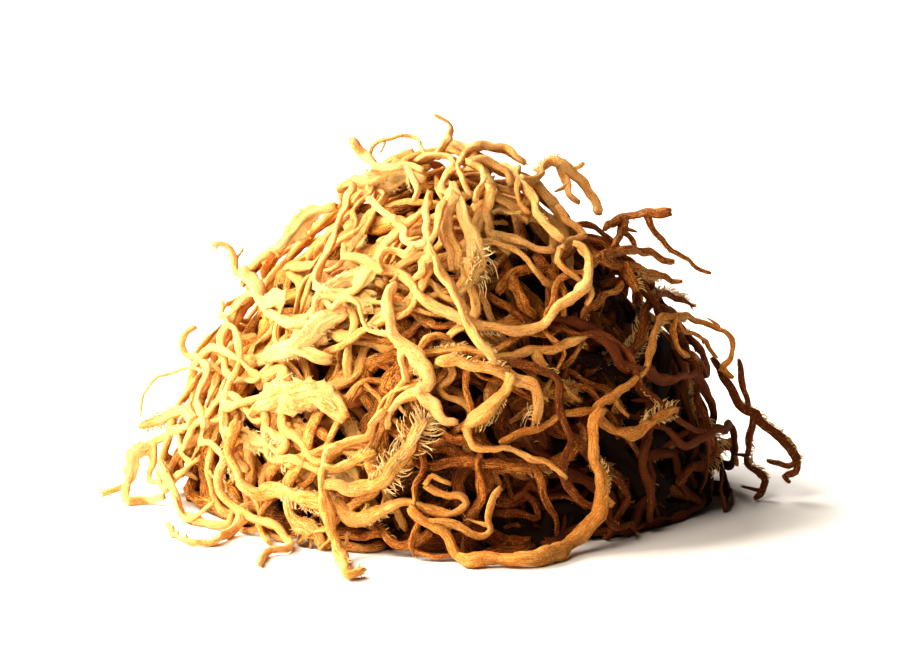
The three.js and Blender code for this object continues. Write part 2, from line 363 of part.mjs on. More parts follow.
function laidPoint(x, height, radius, sink) {
  const inPlane = VIEW_AIM.clone()
    .addScaledVector(VIEW_RIGHT, x)
    .addScaledVector(VIEW_UP, height - VIEW_HEIGHT);
  const sight = inPlane.sub(VIEWPOINT).normalize();
  const along = (distance) => VIEWPOINT.clone().addScaledVector(sight, distance);
  let near = VIEW_DISTANCE - 2 * HEIGHT;
  let far = VIEW_DISTANCE + 2 * HEIGHT;
  for (let turn = 0; turn < 60; turn += 1) {
    const third = (far - near) / 3;
    if (skinLevel(along(near + third)) < skinLevel(along(far - third))) {
      far -= third;
    } else {
      near += third;
    }
  }
  const closest = (near + far) / 2;
  let distance = closest;
  if (skinLevel(along(closest)) < 1) {
    let outside = VIEW_DISTANCE - 2 * HEIGHT;
    let inside = closest;
    for (let turn = 0; turn < 50; turn += 1) {
      const middle = (outside + inside) / 2;
      if (skinLevel(along(middle)) < 1) {
        inside = middle;
      } else {
        outside = middle;
      }
    }
    distance = Math.min(inside + sink, closest);
  }
  if (sight.z < 0) {
    distance = Math.min(distance, (radius + FLOOR_GAP - VIEWPOINT.z) / sight.z);
  }
  return { base: along(distance), push: sight.negate() };
}

// A frond's nodes and strands from its drawing. Long spans get points between, on a smooth curve.
function drawnFrond(drawing) {
  const frond = { name: drawing.name, tone: drawing.tone, nodes: [], strands: [] };
  const placeOf = [];
  for (const strand of drawing.strands) {
    const root = strand.from ? [drawing.strands[strand.from[0]].at[strand.from[1]]] : [];
    const points = root.concat(strand.at);
    const ids = [];
    const places = [];
    for (let i = 0; i < points.length; i += 1) {
      const share = i / (points.length - 1);
      if (i === 0 && strand.from) {
        ids.push(placeOf[strand.from[0]][strand.from[1]]);
      } else {
        if (i > 0) {
          const [before, after] = [points[i - 1], points[i]];
          const span = Math.hypot(after[0] - before[0], after[1] - before[1]);
          const pieces = Math.max(1, Math.round(span / LONG_SPAN));
          for (let piece = 1; piece < pieces; piece += 1) {
            const between = curvePoint(points, i - 1, piece / pieces);
            const betweenRadius = radiusAt(strand.r, (i - 1 + piece / pieces) / (points.length - 1));
            frond.nodes.push(laidPoint(between[0], between[1], betweenRadius, drawing.sink));
            ids.push(frond.nodes.length - 1);
          }
        }
        frond.nodes.push(laidPoint(points[i][0], points[i][1], radiusAt(strand.r, share), drawing.sink));
        ids.push(frond.nodes.length - 1);
        places.push(ids[ids.length - 1]);
      }
    }
    placeOf.push(places);
    frond.strands.push({ ids, radii: ids.map((_, i) => radiusAt(strand.r, i / (ids.length - 1))) });
  }
  return frond;
}

// A point on the smooth (Catmull-Rom) curve through points, after the one at index.
function curvePoint(points, index, share) {
  const a = points[Math.max(index - 1, 0)];
  const b = points[index];
  const c = points[index + 1];
  const d = points[Math.min(index + 2, points.length - 1)];
  return [0, 1].map((axis) => 0.5 * (2 * b[axis] + (c[axis] - a[axis]) * share
    + (2 * a[axis] - 5 * b[axis] + 4 * c[axis] - d[axis]) * share ** 2
    + (3 * b[axis] - a[axis] - 3 * c[axis] + d[axis]) * share ** 3));
}

// A walk over the skin from a direction. It swings to both sides of its way in two waves, and
// turns back at the table and, for outer fronds, at the front, which the drawn fronds cover.
function skinWalk(start, heading, steps, step, sinkAt, radius, random, frontLimit) {
  const swing = random(0.45, 0.8);
  const slow = random(0.1, 0.17);
  const quick = random(0.26, 0.36);
  const phase = random(0, 6.283);
  const quickPhase = random(0, 6.283);
  const walk = [];
  let direction = start.clone().normalize();
  const along = heading.clone();
  for (let i = 0; i <= steps; i += 1) {
    const reach = 1 / skinLevel(direction);
    const base = direction.clone().multiplyScalar(reach - sinkAt(i / steps));
    base.z = Math.max(base.z, radius + FLOOR_GAP);
    const push = new THREE.Vector3(direction.x, direction.y, Math.max(direction.z, 0)).normalize();
    walk.push({ base, push });
    along.z += STEERING * Math.max(0, 1 - direction.z / LOW_MARGIN);
    const frontness = 1 + (frontLimit - direction.y * reach) / FRONT_MARGIN;
    along.y += STEERING * THREE.MathUtils.clamp(frontness, 0, 1.5);
    along.addScaledVector(direction, -along.dot(direction)).normalize();
    const side = new THREE.Vector3().crossVectors(direction, along);
    const gone = i * step;
    const turn = swing * (Math.sin(slow * gone + phase) + 0.6 * Math.sin(quick * gone + quickPhase));
    const way = along.clone().multiplyScalar(Math.cos(turn)).addScaledVector(side, Math.sin(turn));
    direction = direction.clone().multiplyScalar(reach).addScaledVector(way, step).normalize();
    along.addScaledVector(direction, -along.dot(direction)).normalize();
  }
  return walk;
}

// A direction on the upper half ball, and one that lies square to it.
function directionAt(azimuth, rise) {
  return new THREE.Vector3(
    Math.cos(azimuth) * Math.cos(rise),
    Math.sin(azimuth) * Math.cos(rise),
    Math.sin(rise),
  );
}

function headingAt(direction, angle) {
  const flat = new THREE.Vector3(-direction.y, direction.x, 0).normalize();
  const steep = new THREE.Vector3().crossVectors(direction, flat);
  return flat.multiplyScalar(Math.cos(angle)).addScaledVector(steep, Math.sin(angle));
}

// An outer frond: a stem with branches to both sides. Every other one climbs to the crown,
// and the rest go round the heap.
function outerFrond(index, random) {
  const share = (index + 0.5) / OUTER_FRONDS;
  const climbs = index % 2 === 0;
  const azimuth = OUTER_FIRST_AZIMUTH + OUTER_AZIMUTH_RANGE * ((index * GOLDEN_SHARE) % 1);
  const rise = climbs ? random(0.08, 0.3) : random(0.25, 0.9);
  const start = directionAt(azimuth, rise);
  const stemRadii = [random(0.9, 1.3), random(1.2, 1.8), random(0.8, 1.2)];
  const sinkAt = () => OUTER_SINK * (1.3 - share);
  const climb = climbs ? random(1.1, 1.5) : random(-0.5, 0.5);
  const way = azimuth < Math.PI / 2 ? climb : Math.PI - climb;
  const stem = skinWalk(start, headingAt(start, way), OUTER_STEM_STEPS, OUTER_STEP, sinkAt, 1.8, random,
    OUTER_FRONT_LIMIT);
  const frond = {
    name: `outer_frond_${String(index + 1).padStart(2, '0')}`,
    tone: index % 3 === 1 ? 'amber' : 'pale',
    nodes: stem,
    strands: [],
  };
  addStrand(frond, stem.map((_, i) => i), stemRadii);
  for (let branch = 0; branch < OUTER_BRANCHES; branch += 1) {
    const at = 2 + Math.floor((branch + random(0.2, 0.8)) * (OUTER_STEM_STEPS - 3) / OUTER_BRANCHES);
    const root = stem[at].push;
    const onward = stem[at + 1].base.clone().sub(stem[at].base);
    onward.addScaledVector(root, -onward.dot(root)).normalize();
    const side = new THREE.Vector3().crossVectors(root, onward);
    const spread = random(0.5, 1.1) * (branch % 2 === 0 ? 1 : -1);
    const heading = onward.multiplyScalar(Math.cos(spread)).addScaledVector(side, Math.sin(spread));
    const walk = skinWalk(root, heading, OUTER_BRANCH_STEPS, OUTER_STEP, sinkAt, 1.2, random,
      OUTER_FRONT_LIMIT);
    const ids = [at];
    for (const node of walk.slice(1)) {
      frond.nodes.push(node);
      ids.push(frond.nodes.length - 1);
    }
    addStrand(frond, ids, [random(0.85, 1), random(0.85, 1), random(0.45, 0.7)]);
  }
  return frond;
}

function addStrand(frond, ids, radiusList) {
  const radii = ids.map((_, i) => radiusAt(radiusList, i / (ids.length - 1)));
  frond.strands.push({ ids, radii });
}

// The strands of the inner tangle: both ends go down into the core.
function innerFrond(random) {
  const frond = { name: 'inner_tangle', tone: 'inner', nodes: [], strands: [] };
  for (let index = 0; index < INNER_STRANDS; index += 1) {
    const azimuth = index * GOLDEN_ANGLE;
    const rise = Math.asin(0.04 + 0.92 * ((index * (1 - GOLDEN_SHARE) + 0.2) % 1));
    const start = directionAt(azimuth, rise);
    const depth = random(10, 15);
    const sinkAt = (share) => depth + INNER_DIVE * Math.abs(2 * share - 1) ** 6;
    const radius = random(1.3, 1.8);
    const walk = skinWalk(start, headingAt(start, random(0, 6.283)), INNER_STEPS, INNER_STEP, sinkAt,
      radius, random, -HALF_DEPTH);
    const first = frond.nodes.length;
    frond.nodes.push(...walk);
    addStrand(frond, walk.map((_, i) => first + i), [radius, radius]);
  }
  return frond;
}

// The strands that the heap lies on: each has an angle to X, and passes the origin at an offset.
function underStrands() {
  return UNDER_STRANDS.map(([angle, offset, half], index) => {
    const turn = THREE.MathUtils.degToRad(angle);
    const count = 2 * Math.round(half / UNDER_STEP);
    const points = [];
    for (let i = 0; i <= count; i += 1) {
      const along = (i - count / 2) * UNDER_STEP;
      const across = offset + UNDER_WAVE * Math.sin(along / UNDER_WAVELENGTH);
      points.push(new THREE.Vector3(
        along * Math.cos(turn) - across * Math.sin(turn),
        along * Math.sin(turn) + across * Math.cos(turn),
        UNDER_RISE - UNDER_SETTLING * index,
      ));
    }
    return { points, radii: points.map(() => UNDER_RADIUS) };
  });
}

// Where each node of a frond lies once it is lifted.
function nodePlaces(frond, lifts) {
  return frond.nodes.map((node, i) => node.base.clone().addScaledVector(node.push, lifts[i]));
}

// Points along a frond's strands, a little over a millimetre apart.
function denseSamples(frond, places, lifts) {
  const samples = [];
  for (const strand of frond.strands) {
    for (let i = 1; i < strand.ids.length; i += 1) {
      const from = strand.ids[i - 1];
      const to = strand.ids[i];
      const length = places[from].distanceTo(places[to]);
      const count = Math.max(1, Math.ceil(length / SAMPLE_STEP));
      for (let piece = 0; piece <= count; piece += 1) {
        const share = piece / count;
        samples.push({
          place: places[from].clone().lerp(places[to], share),
          push: frond.nodes[from].push.clone().lerp(frond.nodes[to].push, share),
          radius: strand.radii[i - 1] + (strand.radii[i] - strand.radii[i - 1]) * share,
          lift: lifts[from] + (lifts[to] - lifts[from]) * share,
          from,
          to,
          fromDistance: share * length,
          toDistance: (1 - share) * length,
        });
      }
    }
  }
  return samples;
}

// Distances along the strands between all nodes of a frond.
function strandDistances(frond) {
  const count = frond.nodes.length;
  const distances = Array.from({ length: count }, () => new Float64Array(count).fill(Infinity));
  const links = Array.from({ length: count }, () => []);
  for (const strand of frond.strands) {
    for (let i = 1; i < strand.ids.length; i += 1) {
      const from = strand.ids[i - 1];
      const to = strand.ids[i];
      const length = frond.nodes[from].base.distanceTo(frond.nodes[to].base);
      links[from].push([to, length]);
      links[to].push([from, length]);
    }
  }
  for (let start = 0; start < count; start += 1) {
    const row = distances[start];
    row[start] = 0;
    const open = [start];
    while (open.length > 0) {
      const at = open.pop();
      for (const [next, length] of links[at]) {
        if (row[at] + length < row[next]) {
          row[next] = row[at] + length;
          open.push(next);
        }
      }
    }
  }
  return distances;
}

// Raises a frond until it is clear of everything laid before it. lookAhead is how far above its
// starting place it also goes over what it would otherwise pass under.
function layFrond(frond, wholePile, lookAhead) {
  const box = new THREE.Box3().setFromPoints(frond.nodes.map((node) => node.base));
  box.expandByScalar(PILE_MARGIN);
  const pile = wholePile.filter(([x, y, z]) => box.containsPoint(new THREE.Vector3(x, y, z)));
  const lifts = new Float64Array(frond.nodes.length);
  lifts.fill(-roomBelow(denseSamples(frond, nodePlaces(frond, lifts), lifts), pile));
  const distances = strandDistances(frond);
  for (let pass = 0; pass < LAYING_PASSES; pass += 1) {
    const samples = denseSamples(frond, nodePlaces(frond, lifts), lifts);
    const look = pass === 0 ? lookAhead : 0;
    let worst = 0;
    const wanted = Float64Array.from(lifts);
    for (const sample of samples) {
      const extra = liftToClear(sample, pile, look);
      if (extra > 0) {
        worst = Math.max(worst, extra);
        const target = sample.lift + extra;
        for (let node = 0; node < wanted.length; node += 1) {
          const away = Math.min(
            distances[sample.from][node] + sample.fromDistance,
            distances[sample.to][node] + sample.toDistance,
          );
          const slack = Math.max(0, away - BEND_PLATEAU);
          wanted[node] = Math.max(wanted[node], target - BEND * slack * slack);
        }
      }
    }
    lifts.set(wanted);
    if (worst < SETTLED) {
      break;
    }
  }
  frond.places = nodePlaces(frond, lifts);
  frond.lifts = lifts;
  for (const sample of denseSamples(frond, frond.places, lifts)) {
    wholePile.push([sample.place.x, sample.place.y, sample.place.z, sample.radius]);
  }
}

// How far a frond sinks, as one, before it meets what lies below it or the table.
function roomBelow(samples, pile) {
  let room = DEEPEST_SETTLING;
  let meets = false;
  for (const { place, push, radius } of samples) {
    if (push.z > 0) {
      room = Math.min(room, Math.max(0, (place.z - radius - FLOOR_GAP) / push.z));
    }
    for (const [px, py, pz, pr] of pile) {
      const reach = radius + pr + CLEARANCE;
      const dx = px - place.x;
      const dy = py - place.y;
      const dz = pz - place.z;
      const ahead = dx * push.x + dy * push.y + dz * push.z;
      const square = reach * reach - (dx * dx + dy * dy + dz * dz - ahead * ahead);
      if (square > 0 && ahead < 0 && -ahead - Math.sqrt(square) <= room) {
        room = Math.max(0, -ahead - Math.sqrt(square));
        meets = true;
      }
    }
  }
  return meets ? room : 0;
}

function liftToClear(sample, pile, look) {
  let extra = 0;
  const { x, y, z } = sample.place;
  for (const [px, py, pz, pr] of pile) {
    const reach = sample.radius + pr + CLEARANCE;
    const dx = px - x;
    const dy = py - y;
    const dz = pz - z;
    const ahead = dx * sample.push.x + dy * sample.push.y + dz * sample.push.z;
    const square = reach * reach - (dx * dx + dy * dy + dz * dz - ahead * ahead);
    if (square > 0) {
      const half = Math.sqrt(square);
      if (ahead > -half && ahead < half + look) {
        extra = Math.max(extra, ahead + half);
      }
    }
  }
  return extra;
}

// How many sides a tube has, by its widest radius.
function tubeSides(radii) {
  const widest = Math.max(...radii);
  if (widest > THICK_RADIUS) {
    return THICK_SIDES;
  }
  return widest > THIN_RADIUS ? MIDDLE_SIDES : THIN_SIDES;
}

// A faceted tube through points, with a flat end at each end, and its sides turned by an angle.
function tubeGeometry(points, radii, turn, sides = tubeSides(radii)) {
  const positions = [];
  const indices = [];
  let across = null;
  for (let i = 0; i < points.length; i += 1) {
    const before = points[Math.max(i - 1, 0)];
    const after = points[Math.min(i + 1, points.length - 1)];
    const inward = points[i].clone().sub(before).normalize();
    const outward = after.clone().sub(points[i]).normalize();
    const tangent = inward.add(outward).normalize();
    if (across === null) {
      const helper = Math.abs(tangent.z) < 0.9 ? new THREE.Vector3(0, 0, 1) : new THREE.Vector3(1, 0, 0);
      across = new THREE.Vector3().crossVectors(tangent, helper);
    }
    across.addScaledVector(tangent, -across.dot(tangent)).normalize();
    const up = new THREE.Vector3().crossVectors(tangent, across);
    for (let side = 0; side < sides; side += 1) {
      const angle = turn + 2 * Math.PI * side / sides;
      const corner = points[i].clone()
        .addScaledVector(across, radii[i] * Math.cos(angle))
        .addScaledVector(up, radii[i] * Math.sin(angle));
      positions.push(corner.x, corner.y, corner.z);
    }
  }
  for (let i = 1; i < points.length; i += 1) {
    for (let side = 0; side < sides; side += 1) {
      const next = (side + 1) % sides;
      const a = (i - 1) * sides + side;
      const b = (i - 1) * sides + next;
      const c = i * sides + next;
      const d = i * sides + side;
      indices.push(a, b, c, a, c, d);
    }
  }
  const last = (points.length - 1) * sides;
  for (let side = 2; side < sides; side += 1) {
    indices.push(0, side, side - 1);
    indices.push(last, last + side - 1, last + side);
  }
  const geometry = new THREE.BufferGeometry();
  geometry.setAttribute('position', new THREE.Float32BufferAttribute(positions, 3));
  geometry.setIndex(indices);
  return geometry;
}

// The lumpy core, with a flatter underside just above the table.
function coreGeometry() {
  const ball = new THREE.IcosahedronGeometry(1, CORE_DETAIL);
  ball.deleteAttribute('normal');
  ball.deleteAttribute('uv');
  const geometry = mergeVertices(ball, MERGE_TOLERANCE);
  const position = geometry.getAttribute('position');
  for (let i = 0; i < position.count; i += 1) {
    const direction = new THREE.Vector3().fromBufferAttribute(position, i).normalize();
    const lump = Math.sin(6 * direction.x + 1) * Math.sin(7 * direction.y + 2) + Math.sin(8 * direction.z);
    const size = CORE_SIZE * (1 + CORE_LUMPS * lump);
    const place = direction.clone().multiplyScalar(size / skinLevel(direction));
    if (direction.z < 0) {
      place.z = -0.02 * place.z;
    }
    position.setXYZ(i, place.x, place.y, place.z + CORE_UNDERSIDE);
  }
  return geometry;
}

function solidOf(geometry) {
  const merged = geometry.index ? geometry : mergeVertices(geometry, MERGE_TOLERANCE);
  return new wasm.Manifold(new wasm.Mesh({
    numProp: 3,
    vertProperties: Float32Array.from(merged.getAttribute('position').array),
    triVerts: Uint32Array.from(merged.index.array),
  }));
}

function boxSolid(width, depth, height, x, y, z) {
  const box = new THREE.BoxGeometry(width, depth, height).translate(x, y, z);
  box.deleteAttribute('normal');
  box.deleteAttribute('uv');
  return solidOf(mergeVertices(box, MERGE_TOLERANCE));
}

// The one body of a fused solid: hollows that fusing sealed are filled, and scraps are dropped.
function wholeBody(solid) {
  return solid.decompose().reduce((best, body) => (body.volume() > best.volume() ? body : best));
}

function geometryOf(solid) {
  const mesh = wholeBody(solid).getMesh();
  const geometry = new THREE.BufferGeometry();
  geometry.setAttribute('position', new THREE.BufferAttribute(Float32Array.from(mesh.vertProperties), 3));
  geometry.setIndex(new THREE.BufferAttribute(Uint32Array.from(mesh.triVerts), 1));
  geometry.computeVertexNormals();
  return geometry;
}

// One body from a frond's strands.
function frondSolid(frond, sides) {
  const tubes = frond.strands.map((strand, i) => {
    const points = strand.ids.map((id) => frond.places[id]);
    return solidOf(tubeGeometry(points, strand.radii, SIDE_TURN * i, sides));
  });
  return tubes.reduce((solid, tube) => solid.add(tube));
}

function innerSolid(frond, under) {
  let solid = solidOf(coreGeometry()).add(frondSolid(frond, THIN_SIDES));
  under.forEach((strand, i) => {
    solid = solid.add(solidOf(tubeGeometry(strand.points, strand.radii, SIDE_TURN * i)));
  });
  const below = boxSolid(4 * HALF_WIDTH, 4 * HALF_DEPTH, HEIGHT, 0, 0, -HEIGHT / 2);
  return solid.subtract(below);
}

const MATERIALS = {
  pale: new THREE.MeshStandardMaterial({ color: 0xd9a557, roughness: 0.62, metalness: 0 }),
  amber: new THREE.MeshStandardMaterial({ color: 0xb5752a, roughness: 0.58, metalness: 0 }),
  inner: new THREE.MeshStandardMaterial({ color: 0x6e3f14, roughness: 0.75, metalness: 0 }),
};

function buildHeap() {
  const heap = new THREE.Group();
  const pile = [];
  const inner = innerFrond(seededNumbers(INNER_SEED));
  inner.places = inner.nodes.map((node) => node.base);
  const under = underStrands();
  for (const sample of denseSamples(inner, inner.places, new Float64Array(inner.nodes.length))) {
    pile.push([sample.place.x, sample.place.y, sample.place.z, sample.radius]);
  }
  for (const strand of under) {
    for (let i = 1; i < strand.points.length; i += 1) {
      for (let share = 0; share < 1; share += 0.125) {
        const place = strand.points[i - 1].clone().lerp(strand.points[i], share);
        pile.push([place.x, place.y, place.z, UNDER_RADIUS]);
      }
    }
  }
  const random = seededNumbers(OUTER_SEED);
  const fronds = [];
  for (let index = 0; index < OUTER_FRONDS; index += 1) {
    const frond = outerFrond(index, random);
    layFrond(frond, pile, 0);
    fronds.push(frond);
  }
  for (const drawing of FRONT_FRONDS) {
    const frond = drawnFrond(drawing);
    layFrond(frond, pile, FRONT_LOOK_AHEAD);
    fronds.push(frond);
  }
  const addMesh = (name, tone, solid) => {
    const mesh = new THREE.Mesh(geometryOf(solid), MATERIALS[tone]);
    mesh.name = name;
    heap.add(mesh);
  };
  addMesh('inner_tangle', 'inner', innerSolid(inner, under));
  for (const frond of fronds) {
    addMesh(frond.name, frond.tone, frondSolid(frond));
  }
  return heap;
}

export default buildHeap();
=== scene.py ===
import math

import bmesh
import bpy
import numpy as np
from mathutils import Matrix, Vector


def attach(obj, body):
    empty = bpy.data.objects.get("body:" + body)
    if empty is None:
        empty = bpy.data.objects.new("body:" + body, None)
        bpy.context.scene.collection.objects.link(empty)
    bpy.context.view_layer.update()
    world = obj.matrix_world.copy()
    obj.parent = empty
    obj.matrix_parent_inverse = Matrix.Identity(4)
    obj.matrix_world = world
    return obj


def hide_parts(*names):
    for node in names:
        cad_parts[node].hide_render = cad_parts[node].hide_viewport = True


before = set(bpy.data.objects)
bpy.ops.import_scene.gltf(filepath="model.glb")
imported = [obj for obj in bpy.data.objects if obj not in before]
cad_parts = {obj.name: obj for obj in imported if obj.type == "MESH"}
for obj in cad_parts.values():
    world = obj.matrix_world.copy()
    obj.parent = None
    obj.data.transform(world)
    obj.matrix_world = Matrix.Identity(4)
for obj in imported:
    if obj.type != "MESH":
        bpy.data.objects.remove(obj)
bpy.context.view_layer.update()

# Dried irish moss. Lengths are in millimetres until a mesh is made.
MM = 0.001
UP = np.array([0.0, 0.0, 1.0])

# The fronds lie as in the source: the same skin, the same drawing and the same laying.
HALF_WIDTH = 76
HALF_DEPTH = 64
HEIGHT = 93
ROUNDNESS = 1.7
VIEW_DISTANCE = 900
VIEW_RISE = math.radians(11.5)
VIEW_HEIGHT = 42.1
CLEARANCE = 0.05
DEEPEST_SETTLING = 12
FRONT_LOOK_AHEAD = 9
SAMPLE_STEP = 1.1
CLOSEST_SEARCHES = 60
SKIN_SEARCHES = 50
NO_LIMIT = 1000.0
GENERATOR = 48271
GENERATOR_RANGE = 2147483647
FULL_TURN = 6.283
FLOOR_GAP = 0.3
BEND = 0.02
BEND_PLATEAU = 3.5
LAYING_PASSES = 14
SETTLED = 0.01
LONG_SPAN = 5.5
PILE_MARGIN = 25
GOLDEN_ANGLE = 2.399963
GOLDEN_SHARE = 0.618034
SWINGS = (0.45, 0.8)
SLOW_TURNS = (0.1, 0.17)
QUICK_TURNS = (0.26, 0.36)
QUICK_SHARE = 0.6
OUTER_FRONDS = 18
OUTER_FIRST_AZIMUTH = math.radians(-12)
OUTER_AZIMUTH_RANGE = math.radians(204)
OUTER_STEP = 7.6
OUTER_STEM_STEPS = 15
OUTER_BRANCHES = 3
OUTER_BRANCH_STEPS = 4
OUTER_SINK = 8
OUTER_FRONT_LIMIT = -14
OUTER_CLIMBING_RISES = (0.08, 0.3)
OUTER_LEVEL_RISES = (0.25, 0.9)
OUTER_CLIMBS = (1.1, 1.5)
OUTER_DRIFTS = (-0.5, 0.5)
OUTER_SPREADS = (0.5, 1.1)
OUTER_STEM_RADIUS = 1.8
OUTER_STEM_RADII = [(0.9, 1.3), (1.2, 1.8), (0.8, 1.2)]
OUTER_BRANCH_RADIUS = 1.2
OUTER_BRANCH_RADII = [(0.85, 1), (0.85, 1), (0.45, 0.7)]
OUTER_SEED = 4271
STEERING = 0.4
LOW_MARGIN = 0.25
FRONT_MARGIN = 9
CORE_SIZE = 0.6
CORE_LUMPS = 0.12
CORE_UNDERSIDE = 2
INNER_STRANDS = 24
INNER_STEPS = 7
INNER_STEP = 11
INNER_DIVE = 36
INNER_DEPTHS = (10, 15)
INNER_RADII = (1.3, 1.8)
INNER_SEED = 911
UNDER_STRANDS = [
    (8, 0, 60), (68, -27, 44), (115, 20, 44), (-14, 30, 44), (28, -34, 48), (96, -3, 50),
]
UNDER_STEP = 12
UNDER_WAVELENGTH = 13
UNDER_WAVE = 4
UNDER_RADIUS = 2
UNDER_RISE = 1.4
UNDER_SETTLING = 0.07

